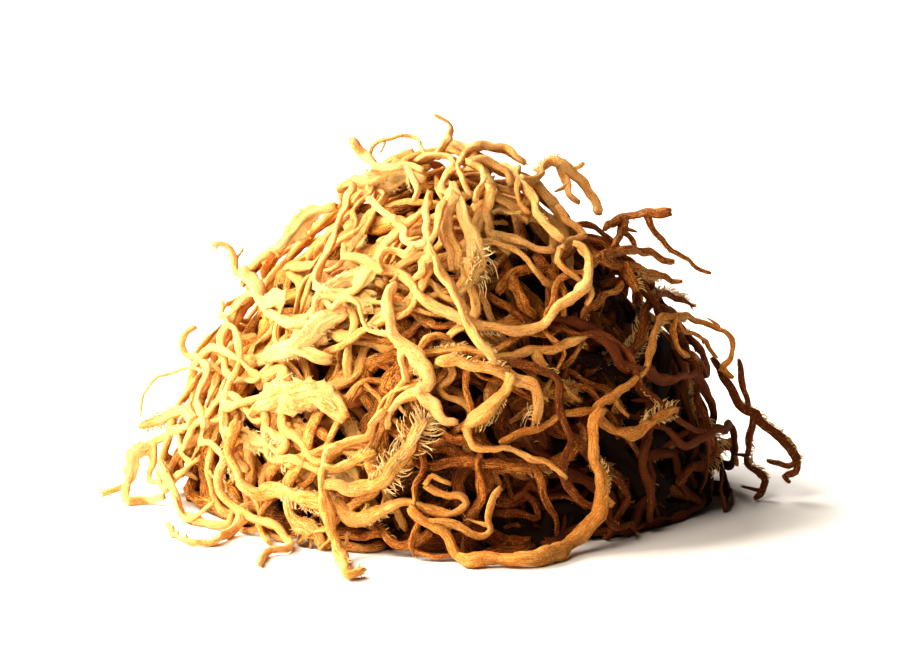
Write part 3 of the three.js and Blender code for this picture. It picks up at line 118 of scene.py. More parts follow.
# The front fronds, the deepest first: name, tone, how far it starts under the skin, and its strands.
# A strand has radii, the strand and point that it grows from, and points in front view.
FRONT_FRONDS = [
    ("floor_back_right", "amber", 2, [
        ([1.15, 1.0], None, [(4.4, -1.6), (6.4, -4.6), (10, -7.2), (15, -7.6), (19.5, -6.8), (24, -8.3),
            (27.6, -8.3), (31.4, -7.2), (36, -7.8), (40.2, -7.6), (44, -7.6), (48, -6)]),
    ]),
    ("floor_dip", "amber", 2, [
        ([1.2], None, [(-27.4, 1.8), (-25, -1.5), (-21.6, -5.2), (-17.4, -7.7), (-14.7, -10),
            (-12, -11.6), (-8.6, -10.8), (-4.8, -8.1)]),
        ([1.3], (0, 3), [(-21, -8.7), (-27, -8.5), (-33, -8.1), (-39, -8)]),
    ]),
    ("left_prong", "pale", 8, [
        ([0.8, 1, 1.1], None, [(-86.8, 1.5), (-84, 2.4), (-81, 3.8), (-79.9, 6.9), (-79.5, 10.3),
            (-77.2, 12.6), (-74.2, 14.5), (-71.5, 15.8), (-68, 17.5), (-64, 19), (-59, 20), (-53, 22.5)]),
        ([1.1, 0.8], (0, 6), [(-74.6, 9.2), (-75, 5.7), (-72, 4.6)]),
        ([1, 0.8], (0, 2), [(-80.3, -0.4), (-76, 0), (-71.5, 0.7)]),
        ([1.8, 1.2], (0, 9), [(-65.8, 22.2), (-69.6, 21), (-73.4, 19.8), (-77.6, 18.4)]),
    ]),
    ("right_arm", "amber", 6, [
        ([0.8, 1.2, 1.1], None, [(65.6, 35.6), (67.4, 32.6), (68.9, 29.7), (70.9, 27), (72, 24.7),
            (74.3, 22), (76.2, 21.3), (77.4, 19.4), (80, 17.8), (83, 15.5), (85, 12.8), (87, 9.8)]),
        ([0.9, 0.6], (0, 11), [(84.7, 8.4), (82, 9), (79.3, 9.8)]),
        ([0.8, 0.6], (0, 11), [(86.4, 7), (83.6, 5.9), (84.9, 4.4)]),
        ([1, 0.8], (0, 6), [(75.5, 19), (75, 15.9), (74.7, 12.8), (74.3, 9), (76.8, 6.9), (78.9, 4.6),
            (78, 2), (76.2, 0.4)]),
        ([0.7, 0.6, 0.9, 0.45], (0, 5), [(74.3, 24.9), (73.5, 27.4), (73.2, 30.1), (72.6, 32.8),
            (72.2, 35.1)]),
    ]),
    ("lower_fork", "amber", 9, [
        ([1, 0.9], None, [(21.8, 7), (20.3, 4.3), (18, 2), (15.7, 0.1)]),
        ([0.8], (0, 1), [(23.4, 1.6), (27.6, 0.9), (31.4, -0.3), (34, -2.2)]),
        ([1], (0, 2), [(20.3, 0.1), (21.5, -2.2), (22.2, -4.5), (19.5, -4.1), (14.2, -3.3),
            (10.3, -3.3)]),
    ]),
    ("hollow_arch", "amber", 8, [
        ([1.4], None, [(21.5, 61), (23.8, 58), (26, 55.7), (28, 52.6), (28.4, 49)]),
        ([1.2], (0, 1), [(20, 57.6), (17, 57.2), (14.6, 55.7), (12, 52)]),
        ([1.1], (1, 2), [(17.1, 51.9), (18, 49.6), (19.6, 47.3), (21.9, 45.4)]),
    ]),
    ("left_curl", "pale", 7, [
        ([0.7, 1.1], None, [(-63.5, 43.2), (-65.8, 42.1), (-66.9, 39.4), (-66.2, 36.7), (-62.6, 35.6),
            (-60.8, 32.2), (-62.3, 28.3), (-63.1, 25.3), (-61.9, 21.4), (-61.2, 18)]),
        ([0.4], (0, 5), [(-64.6, 32.9), (-68.8, 32.2), (-72.7, 30.6), (-75.7, 27.9), (-77.3, 24.1),
            (-77.3, 20.8)]),
    ]),
    ("left_drop", "pale", 7, [
        ([0.5, 0.8, 1.1, 1], None, [(-57, 49.7), (-56.8, 47), (-55.8, 44.4), (-53.9, 42.4), (-52.5, 38),
            (-53.5, 32.5), (-55.4, 28.3), (-56.2, 24.5), (-56.6, 20.7), (-56.2, 17.6), (-55, 13.6),
            (-53, 9.8), (-50.4, 7.4)]),
        ([0.8], (0, 7), [(-52, 23.3), (-49.7, 21.8)]),
    ]),
    ("upper_left_edge", "pale", 5, [
        ([1.2], None, [(-50.8, 56.6), (-47, 60.8), (-44.7, 62.6), (-42, 63.1), (-39.3, 66.6),
            (-37.4, 69.3), (-34.7, 71.6), (-31.7, 72.7), (-28.6, 73.5)]),
        ([0.9, 0.6], (0, 0), [(-53.6, 57.4), (-53.9, 60.8), (-55.1, 62.8), (-57, 63.9), (-59, 64)]),
        ([1.7], (0, 0), [(-49.3, 54.2), (-47.8, 52), (-46.2, 48.6), (-43.9, 46.3), (-40.9, 44.7),
            (-37, 43.6), (-34.4, 43.2)]),
    ]),
    ("top_left_fuzz", "pale", 3, [
        ([1.2, 1.8, 1.2], None, [(-28, 77.5), (-24, 80), (-20, 79), (-16, 80.5), (-11, 81.5), (-6, 80)]),
        ([1, 0.7], (0, 2), [(-21, 75.5), (-24.2, 72.4), (-24, 68.5), (-27.3, 66)]),
    ]),
    ("crest", "pale", 2, [
        ([1.3, 1.4, 1.1], None, [(1.4, 83.5), (3.7, 86.2), (6, 87.9), (8.3, 88.7), (11.4, 88.3),
            (14.1, 87.4), (16.4, 85.8), (18.7, 84.3)]),
        ([0.8], (0, 0), [(0, 85.6), (-3.2, 86), (-6.2, 86.2), (-8.5, 84.7)]),
        ([0.9, 0.45], (1, 1), [(-1.4, 88.5), (-0.3, 91.2), (0.1, 93.1), (-1.3, 95), (-3.9, 96.3)]),
        ([0.45], (1, 2), [(-7.4, 88.5), (-9.3, 91), (-12, 91), (-14.7, 90.2), (-17.4, 89.5),
            (-19.5, 88.1), (-20, 85.8)]),
        ([0.8], (0, 0), [(3, 80.5), (4.1, 78.2), (5.6, 75.5)]),
        ([0.9], (0, 0), [(-1.4, 80.6), (-1.6, 77.4), (0.7, 75.5), (3, 73.6), (5.3, 72.4)]),
    ]),
    ("top_stick", "pale", 2, [
        ([1.1, 1.2, 1.1], None, [(-6.6, 82.2), (-10.8, 83.5), (-13.9, 82.9), (-17.4, 83.3),
            (-19.8, 84.7), (-21.8, 86.6), (-23.7, 88.9), (-24.6, 90.2)]),
        ([0.8], (0, 1), [(-9.3, 80.4), (-7.9, 77.6), (-9, 74.8)]),
    ]),
    ("frayed_slope", "pale", 5, [
        ([1.1], None, [(4.5, 84.3), (7.6, 82.8), (9.1, 80.1), (10.6, 77.4), (12.2, 75.5), (14.8, 73.6),
            (17.1, 71.6), (19.4, 69.7)]),
        ([0.9], (0, 2), [(7.2, 77.4), (6.2, 74.4)]),
        ([1], (0, 0), [(8.5, 85), (12.2, 83.5), (14.5, 81.6), (15.2, 78.5)]),
        ([1.5, 1.4, 0.8], (0, 3), [(9.4, 74.2), (9.1, 71.6), (9.9, 69.3), (10.2, 66.3), (12.2, 64),
            (14.8, 61.7)]),
        ([1.2], (3, 3), [(14.8, 65.4), (18.3, 64.2), (21.4, 63), (24.4, 62.4), (26.3, 62.8)]),
    ]),
    ("tuft_drop", "pale", 4, [
        ([0.9, 1.3, 2.2, 1.2], None, [(0.7, 79.3), (1.4, 76.2), (2.6, 73.2), (4.5, 68.2), (5.6, 65.5),
            (6.4, 62.4), (6.4, 59.4), (5.6, 56.7), (3.7, 54), (2.2, 52)]),
        ([1.4], (0, 1), [(-1.4, 72), (-0.5, 66.4), (1, 61.7), (1.2, 57.6)]),
    ]),
    ("leafy_left", "pale", 6, [
        ([1.3, 2, 1.9, 1.2], None, [(-46, 36), (-42, 37), (-38.6, 38.2), (-35.5, 40.5), (-32.4, 43.6),
            (-29.4, 45.9), (-25.9, 47)]),
        ([1.1], (0, 2), [(-35.5, 36.8), (-32.4, 35.7), (-29.6, 35.2)]),
        ([1.4], (0, 4), [(-33.4, 47.6), (-31.4, 51.4), (-27.6, 54), (-24.3, 55.4), (-21.6, 56.2),
            (-18.5, 56), (-16.2, 54)]),
        ([1.2], (2, 1), [(-26.6, 51.4), (-22.3, 51.4), (-18.5, 50.9)]),
    ]),
    ("amber_broad", "amber", 6, [
        ([1.7, 1.5], None, [(-30, 27.8), (-27.5, 29.8), (-24, 31.7), (-20.2, 33.6), (-16.3, 35.2),
            (-12.5, 36.3)]),
        ([1.4], (0, 0), [(-26.9, 25.1), (-23.9, 24.4), (-21.2, 26.3), (-17.4, 27), (-13.5, 27.4),
            (-9.7, 27)]),
        ([1], (1, 2), [(-19.3, 23.6), (-18.1, 21.4), (-16.2, 20)]),
    ]),
    ("left_small", "amber", 6, [
        ([0.9, 1.3], None, [(-39.8, 26), (-41.2, 22.6), (-39.7, 19.1), (-36.6, 18), (-33.6, 17.6),
            (-30.5, 15.3)]),
        ([1.4], (0, 2), [(-39.5, 16), (-37.4, 13.9), (-34.7, 12.2), (-32, 10.7)]),
    ]),
    ("left_comb", "pale", 4, [
        ([1], None, [(-57, 17.4), (-53.6, 16.8), (-50.4, 15.6), (-48, 14), (-45.4, 13.8), (-42.8, 11.1),
            (-40.5, 8.8), (-38.5, 8.8)]),
        ([1, 1.2, 0.8], (0, 5), [(-41.2, 13.9), (-43.4, 16.4), (-46.6, 18.4)]),
    ]),
    ("left_foot", "pale", 5, [
        ([1.3, 1.2, 0.8], None, [(-52.4, 13.4), (-56.4, 10), (-58, 5.3), (-56.9, 1.9), (-54.3, -1.6),
            (-51.2, -3.5), (-48, -5), (-44.7, -6.2), (-42, -8.1), (-40.1, -10.4), (-41.6, -12.2),
            (-44.7, -12.8), (-47, -14.4), (-47.7, -16.2)]),
        ([0.9], (0, 6), [(-46.8, -8.3), (-45.4, -10.6)]),
        ([1.3, 1, 0.6], (0, 5), [(-53.4, -6.6), (-56.6, -9), (-60.2, -10.4), (-63.8, -10.6),
            (-66.8, -9.8), (-69.2, -8.2), (-70.5, -5.8)]),
    ]),
    ("pale_flake", "pale", 3, [
        ([0.6, 1.6, 2.6, 2.2, 1.2], None, [(-50, 21), (-48, 23.3), (-45.4, 24.5), (-42.8, 26),
            (-39.3, 25.6), (-35.9, 26.4), (-31.6, 25.6), (-28.5, 22.9), (-26.2, 20.2)]),
        ([0.9, 0.5], (0, 3), [(-42, 28.9), (-39.6, 31.2)]),
    ]),
    ("wide_wave", "pale", 3, [
        ([1.5, 1.7, 1.9, 1.4, 1, 0.9], None, [(-53, 19.5), (-54.3, 15.7), (-55.4, 12.2), (-54.3, 8.8),
            (-53, 5.7), (-50.8, 3), (-48, 1.5), (-44.7, 2.3), (-40.8, 1.5), (-37.4, 0.7), (-33.2, -0.6),
            (-28.5, -1.2), (-26.2, -3.1), (-23.6, -4.7), (-20.5, -4.3), (-17, -2.8), (-13.6, -1.2),
            (-10.5, -0.1), (-7.8, -1.2), (-4.8, -2.8), (-0.9, -3.5), (2.5, -2.8), (3.9, -0.8),
            (2.5, 0.9), (-0.6, 1.4), (-3.4, 2.2), (-6.2, 3.6)]),
        ([0.7], (0, 26), [(-4.4, 6.1), (-2.2, 5), (0.2, 4)]),
    ]),
    ("lower_level", "amber", 4, [
        ([1.3, 1.4, 1.7, 1.5, 1.2], None, [(-9, 13), (-5, 12.8), (-1.9, 13.3), (0, 12.8), (2.3, 11.2),
            (5.7, 9.7), (9.2, 8.2), (12.6, 8), (16.5, 8.5), (20.3, 8.5), (24.1, 8.5), (27.6, 9.7),
            (30.3, 11.6), (32.2, 13.9), (33.7, 15.8), (33.3, 17.7), (32.2, 19)]),
        ([1.1], (0, 6), [(9.9, 4.6), (8.4, 1.6), (6.9, -1), (6.2, -4)]),
    ]),
    ("knob_strand", "amber", 5, [
        ([1.1, 1.4, 1.6, 1.2, 1], None, [(59.4, 17.2), (54.7, 14.4), (52.8, 12.5), (50.5, 11.3),
            (47.8, 10.4), (45.6, 9.2), (46.4, 7.2), (49.3, 6.8), (52, 5.6), (54.7, 3.3), (57.4, 1.3),
            (59.3, 0)]),
        ([1.2, 0.9], (0, 5), [(44.8, 5.2), (43.2, 2), (43.4, -0.8), (46.4, -1.6), (50, -1.4),
            (53.4, -1.8)]),
    ]),
    ("right_comb", "amber", 4, [
        ([1, 1.3, 1.1], None, [(58.4, 37.6), (60.8, 34), (62.3, 30.5), (61.6, 26.6), (62.3, 23.2),
            (63.5, 19.4), (64.6, 15.9), (65.4, 12.8), (65, 9.8), (62.7, 8.6), (60.4, 7.9), (58.1, 5.9),
            (57, 3.6)]),
    ]),
    ("ring_eye", "pale", 5, [
        ([1], None, [(26.9, 73.7), (28, 72.2), (29.2, 69.9), (31.5, 68), (33.2, 66.2), (31.5, 65.2),
            (29, 64), (27.5, 62.5)]),
        ([0.8], (0, 7), [(27, 60.4), (28.4, 58.2), (30.7, 56.1), (32.6, 54.7)]),
    ]),
    ("ring_strand", "pale", 4, [
        ([1.1], None, [(17, 83.1), (17.3, 80), (19.2, 77.6), (21.1, 74.5), (22.3, 71), (24.6, 68.4),
            (26.9, 66.1), (28.4, 65.1)]),
        ([0.8], (0, 1), [(16.9, 76.8), (17.9, 73.8), (19.6, 71.6)]),
        ([1, 1.2, 1.1], (0, 1), [(20.2, 79.6), (22.3, 81.2), (23.4, 83.3), (25.3, 84.5), (27.6, 84.1),
            (29.9, 82.9), (31.5, 81), (33.4, 79.1), (34.9, 76.4), (36.4, 74.5), (37.2, 71.8)]),
        ([0.5], (2, 5), [(31.8, 83.2), (33.4, 84.2)]),
        ([0.8], (2, 4), [(28.2, 81.2), (29.6, 78.4), (30.2, 75.8), (32.2, 74.4)]),
    ]),
    ("right_stick", "amber", 4, [
        ([1, 1.1, 1.3], None, [(38.6, 67.9), (40.7, 69.4), (43.3, 70.7), (46.4, 71), (49.1, 71.8),
            (51.8, 71.8), (54.9, 72)]),
        ([0.8, 0.6, 0.45], (0, 4), [(50, 69.3), (51.4, 66.8), (53.3, 64.9), (54.8, 62.6), (57.5, 61.1),
            (60.2, 59.9), (61.7, 58), (63.7, 57), (65.2, 56.7)]),
        ([1.1], (0, 2), [(43, 67.2), (41.8, 64.9), (40.7, 62.6)]),
        ([0.6], (2, 0), [(45.3, 65.4), (46.4, 63)]),
    ]),
    ("right_prongs", "amber", 4, [
        ([1.1, 1.1, 0.7], None, [(33.4, 56.4), (37.2, 60.6), (41.2, 62), (44.5, 62.4), (47.9, 62.2),
            (50.6, 61.5), (53.3, 59.9), (56, 59.5)]),
        ([1.1, 1.1, 0.7], (0, 1), [(40.4, 58.8), (43.4, 58.8), (46.4, 58), (49.9, 56.9), (52.9, 56.1),
            (55.6, 54.6), (57.9, 54.6)]),
        ([1.4, 1], (1, 1), [(45, 55.4), (46.8, 52.4)]),
    ]),
    ("comb_arch", "amber", 4, [
        ([1, 1.4, 1.6, 1, 0.5], None, [(33.5, 31.5), (37.5, 34.3), (41, 35.6), (45, 37), (47.5, 40),
            (48, 44), (49.2, 48), (52, 50.8), (57, 50.5), (60.8, 48.5)]),
    ]),
    ("curved_stub", "amber", 3, [
        ([1.2, 1.1, 0.7], None, [(43, 54.2), (41.4, 51.9), (38.4, 51.1), (36.1, 48.8), (33.8, 46.9),
            (33.2, 44.6), (32.6, 41.1), (31.8, 38.1), (30.7, 35.4), (27.5, 33)]),
    ]),
    ("bowl", "pale", 3, [
        ([1.1, 1.2, 1.4, 1.4, 1.2], None, [(-26.9, 60.9), (-23.5, 60.5), (-20.4, 59.4), (-17.4, 57.8),
            (-13.5, 57.1), (-11.2, 55.2), (-8.9, 53.2), (-6.6, 50.6), (-3.9, 48.3), (0, 46.5),
            (4.5, 44.8), (8.5, 43.8), (13, 42.5), (18, 42.3), (23, 44), (27, 48), (31, 51), (34, 54.5),
            (35, 58), (34.5, 61), (33, 63.2), (31, 64.2)]),
        ([1.1, 0.9], (0, 17), [(35.4, 51.5), (34.2, 49)]),
    ]),
    ("right_loop", "pale", 3, [
        ([0.7, 0.8, 1, 1, 1.2, 1.5, 1.3], None, [(67.7, 33.2), (69.6, 34.7), (70.8, 37), (70.8, 39.3),
            (69.2, 41.6), (66.9, 42.6), (64.6, 43.9), (62.3, 44.7), (59.3, 45.8), (56.2, 45.8),
            (53.2, 45.4), (51.5, 43), (50.8, 40.8), (50.5, 37.8), (49.7, 34.7), (47.8, 31.6),
            (45.5, 29.3), (42.8, 27.4), (40.5, 25.9), (38.2, 24.7), (36.7, 22.6), (37.4, 20.5),
            (39, 18.6), (41.3, 17.1), (44.3, 16.7), (47.4, 17.4), (50, 19), (52.8, 20.9), (55, 22),
            (56.6, 22.4)]),
        ([0.85], (0, 20), [(33, 21.9), (29, 21.6), (26, 20.5), (22, 17.5), (19, 17.2), (15.5, 15.7),
            (12.6, 14.4)]),
        ([0.5], (0, 18), [(42.4, 23), (44.7, 20.9)]),
        ([0.7], (0, 9), [(57.6, 43.2), (60.9, 41.6), (63.6, 39.8), (65.3, 37.4), (66.6, 35.6)]),
        ([0.9], (0, 9), [(55.6, 43), (55.8, 40.4), (57.2, 37.8), (59.4, 35.8)]),
        ([0.8, 0.5], (0, 0), [(69.3, 31.6), (70.9, 30.5)]),
    ]),
    ("long_level", "pale", 5, [
        ([1.2, 1.3, 1.2, 0.9], None, [(-13.4, 38.8), (-8.9, 37.1), (-5.5, 37), (-0.9, 37.4), (3, 37.4),
            (6.4, 37), (10.2, 36.2), (14.1, 35.5), (17.1, 36.2), (21, 37.4), (25.6, 37.8), (30.5, 39.3),
            (34.5, 41.5)]),
        ([0.9], (0, 3), [(0.1, 34.2), (0.7, 31.6), (-0.5, 29.7), (-2.6, 27.8), (-1.6, 25.8), (1, 25.4),
            (3.3, 24.4), (4.9, 22.1)]),
        ([1], (0, 9), [(22.9, 34), (25.5, 31.2), (27.8, 28.6), (30.5, 26.3), (32.8, 24.7)]),
    ]),
    ("rough_strand", "pale", 2, [
        ([1.4, 1.5, 1.3, 1.1], None, [(-3.2, 34.6), (1.8, 34.8), (5.6, 33.8), (9.1, 33), (12.2, 32.2),
            (15.2, 31), (17.5, 29.8), (19.8, 29.6), (21.4, 28), (21.9, 25.5), (21.9, 22.4),
            (21.4, 19.4)]),
        ([1.3, 1.5, 2.2, 1.5], (0, 5), [(13.7, 27), (11.4, 24.4), (8.7, 22.1), (6, 20.1), (3.9, 18.2)]),
        ([0.9], (1, 4), [(4.7, 15.2), (7, 13.2), (10.2, 12.7), (14.1, 12.9), (17.1, 11.7), (20.6, 10.6),
            (24, 9.4), (26.8, 7.4), (29.1, 5.4)]),
    ]),
    ("white_fork", "pale", 1, [
        ([1.1, 1.2, 1.2, 1], None, [(-5.1, 77), (-5.5, 73.9), (-5.9, 70.9), (-5.9, 67.4), (-5.5, 64.4),
            (-4.3, 60.9), (-3.2, 58.2), (-1.3, 55.2), (0.7, 52.9), (2, 49.8), (3.3, 46.7), (4.7, 43.9),
            (6, 41.6), (7.6, 38.9), (9.5, 37), (11.4, 34.2)]),
        ([0.9], (0, 4), [(-3.6, 67), (-3, 69.6), (-2.4, 72.4), (-1.3, 74.7)]),
        ([1.1, 0.9], (0, 4), [(-8.7, 63.4), (-11, 65), (-11.6, 67.6), (-13.5, 69.6), (-16.2, 71.6),
            (-18.5, 73.9), (-20.4, 75.5)]),
        ([0.9], (2, 0), [(-11, 61.3), (-13, 62.2), (-15, 62.4), (-16.8, 61.3), (-17.5, 59),
            (-16.8, 56.9)]),
        ([0.9, 0.7], (0, 5), [(-7.2, 59.4), (-7, 57), (-9, 55.4)]),
    ]),
    ("pale_sweep", "pale", 2, [
        ([1.2, 1.3, 1.4, 2, 1.8, 1.3, 1], None, [(-13.3, 54), (-14.7, 52.6), (-15.8, 50.4),
            (-15.6, 47.8), (-14.7, 44.8), (-14.1, 41.4), (-11.6, 38.5), (-8.5, 35.5), (-6.2, 32.4),
            (-5.5, 29.7), (-7.4, 27.2), (-6.2, 25.1), (-3.9, 23.6), (-2.8, 21.6), (-1.3, 19.9),
            (1.8, 19.4)]),
        ([0.75], (0, 5), [(-17.9, 41.7), (-20.6, 43.2), (-22.3, 46.4), (-23.2, 49.3), (-25.5, 50.3),
            (-27.5, 49.7), (-29.4, 48.2), (-31.1, 49.7)]),
        ([1], (0, 6), [(-12.4, 35.2), (-11.6, 32.2), (-10.8, 29.6)]),
        ([1.2, 1], (0, 10), [(-11.2, 25.4), (-13.9, 23.4), (-15.6, 20.7), (-15.6, 17.8)]),
    ]),
    ("brush_foot", "pale", 2, [
        ([0.9, 1, 1.3, 1.5, 1.4], None, [(-16.4, 22.4), (-19.3, 18.7), (-20.1, 16.4), (-22.8, 15.3),
            (-25.5, 14.5), (-28.2, 13), (-30.8, 11), (-31.4, 8), (-31.8, 4.1), (-31.2, 0.3),
            (-30.8, -3.1), (-29.7, -6.6), (-28.5, -9.7), (-27.8, -13.1), (-26.6, -15.8), (-24.7, -18.5),
            (-22, -17.6)]),
        ([0.5], (0, 13), [(-26.2, -11.4), (-25.6, -8.4)]),
        ([1.2, 1.9, 1.9, 1.2], (0, 8), [(-27.8, 3.6), (-24.7, 2.4), (-21.6, 3), (-18.2, 4.5),
            (-15.5, 6.4), (-13.2, 9.1), (-11.3, 11.8), (-9.8, 14.5), (-8.2, 17.2), (-5.9, 19.9)]),
        ([1], (0, 7), [(-28.4, 7.6), (-25.5, 8.7), (-21.6, 10.7), (-18.6, 11.8)]),
    ]),
    ("floor_loop", "pale", 1, [
        ([1.3, 1.6, 1.9, 2, 1.8, 1.5, 1.3], None, [(-10.1, -2), (-7.8, -4.3), (-5.2, -5.8), (-1.2, -8.7),
            (0.7, -11.4), (2.3, -14.1), (5.3, -15), (8.8, -14.8), (12.2, -14.7), (15.7, -14.8),
            (19.5, -14.7), (23.4, -14.1), (26.8, -12.9), (30.3, -10.6), (33.3, -8.3), (35.6, -5.6),
            (37.2, -2.6), (37.9, 0.5), (38.3, 3.9), (37.9, 7), (36.4, 9.7), (35.6, 13.1), (36, 16.2),
            (35.9, 19.6), (38, 22.6)]),
        ([0.9], (0, 2), [(-2, -5.6), (1.5, -6), (3.8, -7.6), (6.1, -9.1), (8.4, -9.1), (9.9, -7.6),
            (9.4, -4.6), (9.8, -1.6), (11.1, 0.9), (12.6, 3)]),
        ([1.3, 1], (0, 17), [(40.6, -1.2)]),
    ]),
]


# ---------- placing the fronds ----------

def seeded_numbers(seed):
    """Seeded numbers between low and high, always in the same order."""
    state = [seed]

    def draw(low, high):
        state[0] = (state[0] * GENERATOR) % GENERATOR_RANGE
        return low + (high - low) * (state[0] / GENERATOR_RANGE)

    return draw


def unit(vector):
    return vector / np.linalg.norm(vector)


def skin_level(point):
    """How far out a point is: 1 on the heap's skin, less inside."""
    wide = abs(point[0] / HALF_WIDTH) ** ROUNDNESS
    deep = abs(point[1] / HALF_DEPTH) ** ROUNDNESS
    high = abs(point[2] / HEIGHT) ** ROUNDNESS
    return (wide + deep + high) ** (1 / ROUNDNESS)


def radius_at(radii, share):
    place = share * (len(radii) - 1)
    index = min(math.floor(place), len(radii) - 2)
    if index < 0:
        return radii[0]
    return radii[index] + (radii[index + 1] - radii[index]) * (place - index)


VIEW_UP = np.array([0.0, math.sin(VIEW_RISE), math.cos(VIEW_RISE)])
VIEW_AIM = np.array([0.0, 0.0, VIEW_HEIGHT / math.cos(VIEW_RISE)])
VIEWPOINT = np.array([0.0, -math.cos(VIEW_RISE), math.sin(VIEW_RISE)]) * VIEW_DISTANCE + VIEW_AIM


def sight_to(x, height):
    in_plane = VIEW_AIM + np.array([x, 0.0, 0.0]) + VIEW_UP * (height - VIEW_HEIGHT)
    return unit(in_plane - VIEWPOINT)


def laid_point(x, height, radius, sink):
    """A point of the front view, laid on the heap or, below and beside it, on the table or free."""
    sight = sight_to(x, height)
    eye = tuple(VIEWPOINT)
    way = tuple(sight)

    def level(distance):
        return skin_level((
            eye[0] + way[0] * distance, eye[1] + way[1] * distance, eye[2] + way[2] * distance,
        ))

    near = VIEW_DISTANCE - 2 * HEIGHT
    far = VIEW_DISTANCE + 2 * HEIGHT
    for _ in range(CLOSEST_SEARCHES):
        third = (far - near) / 3
        if level(near + third) < level(far - third):
            far -= third
        else:
            near += third
    closest = (near + far) / 2
    distance = closest
    if level(closest) < 1:
        outside = VIEW_DISTANCE - 2 * HEIGHT
        inside = closest
        for _ in range(SKIN_SEARCHES):
            middle = (outside + inside) / 2
            if level(middle) < 1:
                inside = middle
            else:
                outside = middle
        distance = min(inside + sink, closest)
    if way[2] < 0:
        distance = min(distance, (radius + FLOOR_GAP - eye[2]) / way[2])
    return VIEWPOINT + sight * distance, -sight


def curve_point(points, index, share):
    a = points[max(index - 1, 0)]
    b = points[index]
    c = points[index + 1]
    d = points[min(index + 2, len(points) - 1)]
    return [0.5 * (2 * b[k] + (c[k] - a[k]) * share
        + (2 * a[k] - 5 * b[k] + 4 * c[k] - d[k]) * share ** 2
        + (3 * b[k] - a[k] - 3 * c[k] + d[k]) * share ** 3) for k in (0, 1)]


class Frond:
    """Nodes that a frond's strands run through; each has a place and the way it is pushed."""

    def __init__(self, name, tone):
        self.name = name
        self.tone = tone
        self.base = []
        self.push = []
        self.strands = []
        self.marks = []
        self.places = None

    def add_node(self, base, push):
        self.base.append(base)
        self.push.append(push)
        return len(self.base) - 1

    def add_strand(self, ids, radii):
        last = len(ids) - 1
        self.strands.append((ids, [radius_at(radii, i / last) for i in range(len(ids))]))


def drawn_frond(name, tone, sink, strands):
    frond = Frond(name, tone)
    for radii, origin, at in strands:
        root = [strands[origin[0]][2][origin[1]]] if origin else []
        points = root + at
        ids = []
        places = []
        for i, point in enumerate(points):
            if i == 0 and origin:
                ids.append(frond.marks[origin[0]][origin[1]])
                continue
            if i > 0:
                before = points[i - 1]
                span = math.hypot(point[0] - before[0], point[1] - before[1])
                pieces = max(1, math.floor(span / LONG_SPAN + 0.5))
                for piece in range(1, pieces):
                    between = curve_point(points, i - 1, piece / pieces)
                    radius = radius_at(radii, (i - 1 + piece / pieces) / (len(points) - 1))
                    ids.append(frond.add_node(*laid_point(between[0], between[1], radius, sink)))
            radius = radius_at(radii, i / (len(points) - 1))
            ids.append(frond.add_node(*laid_point(point[0], point[1], radius, sink)))
            places.append(ids[-1])
        frond.marks.append(places)
        frond.add_strand(ids, radii)
    return frond


def skin_walk(start, heading, steps, step, sink_at, radius, random, front_limit):
    """A walk over the skin that swings to both sides of its way in two waves."""
    swing = random(*SWINGS)
    slow = random(*SLOW_TURNS)
    quick = random(*QUICK_TURNS)
    phase = random(0, FULL_TURN)
    quick_phase = random(0, FULL_TURN)
    walk = []
    direction = unit(start)
    along = heading.copy()
    for i in range(steps + 1):
        reach = 1 / skin_level(direction)
        base = direction * (reach - sink_at(i / steps))
        base[2] = max(base[2], radius + FLOOR_GAP)
        walk.append((base, unit(np.array([direction[0], direction[1], max(direction[2], 0.0)]))))
        along[2] += STEERING * max(0.0, 1 - direction[2] / LOW_MARGIN)
        frontness = 1 + (front_limit - direction[1] * reach) / FRONT_MARGIN
        along[1] += STEERING * min(max(frontness, 0.0), 1.5)
        along = unit(along - direction * along.dot(direction))
        side = np.cross(direction, along)
        gone = i * step
        quick_turn = math.sin(quick * gone + quick_phase)
        turn = swing * (math.sin(slow * gone + phase) + QUICK_SHARE * quick_turn)
        way = along * math.cos(turn) + side * math.sin(turn)
        direction = unit(direction * reach + way * step)
        along = unit(along - direction * along.dot(direction))
    return walk


def direction_at(azimuth, rise):
    return np.array([
        math.cos(azimuth) * math.cos(rise), math.sin(azimuth) * math.cos(rise), math.sin(rise),
    ])


def heading_at(direction, angle):
    flat = unit(np.array([-direction[1], direction[0], 0.0]))
    steep = np.cross(direction, flat)
    return flat * math.cos(angle) + steep * math.sin(angle)


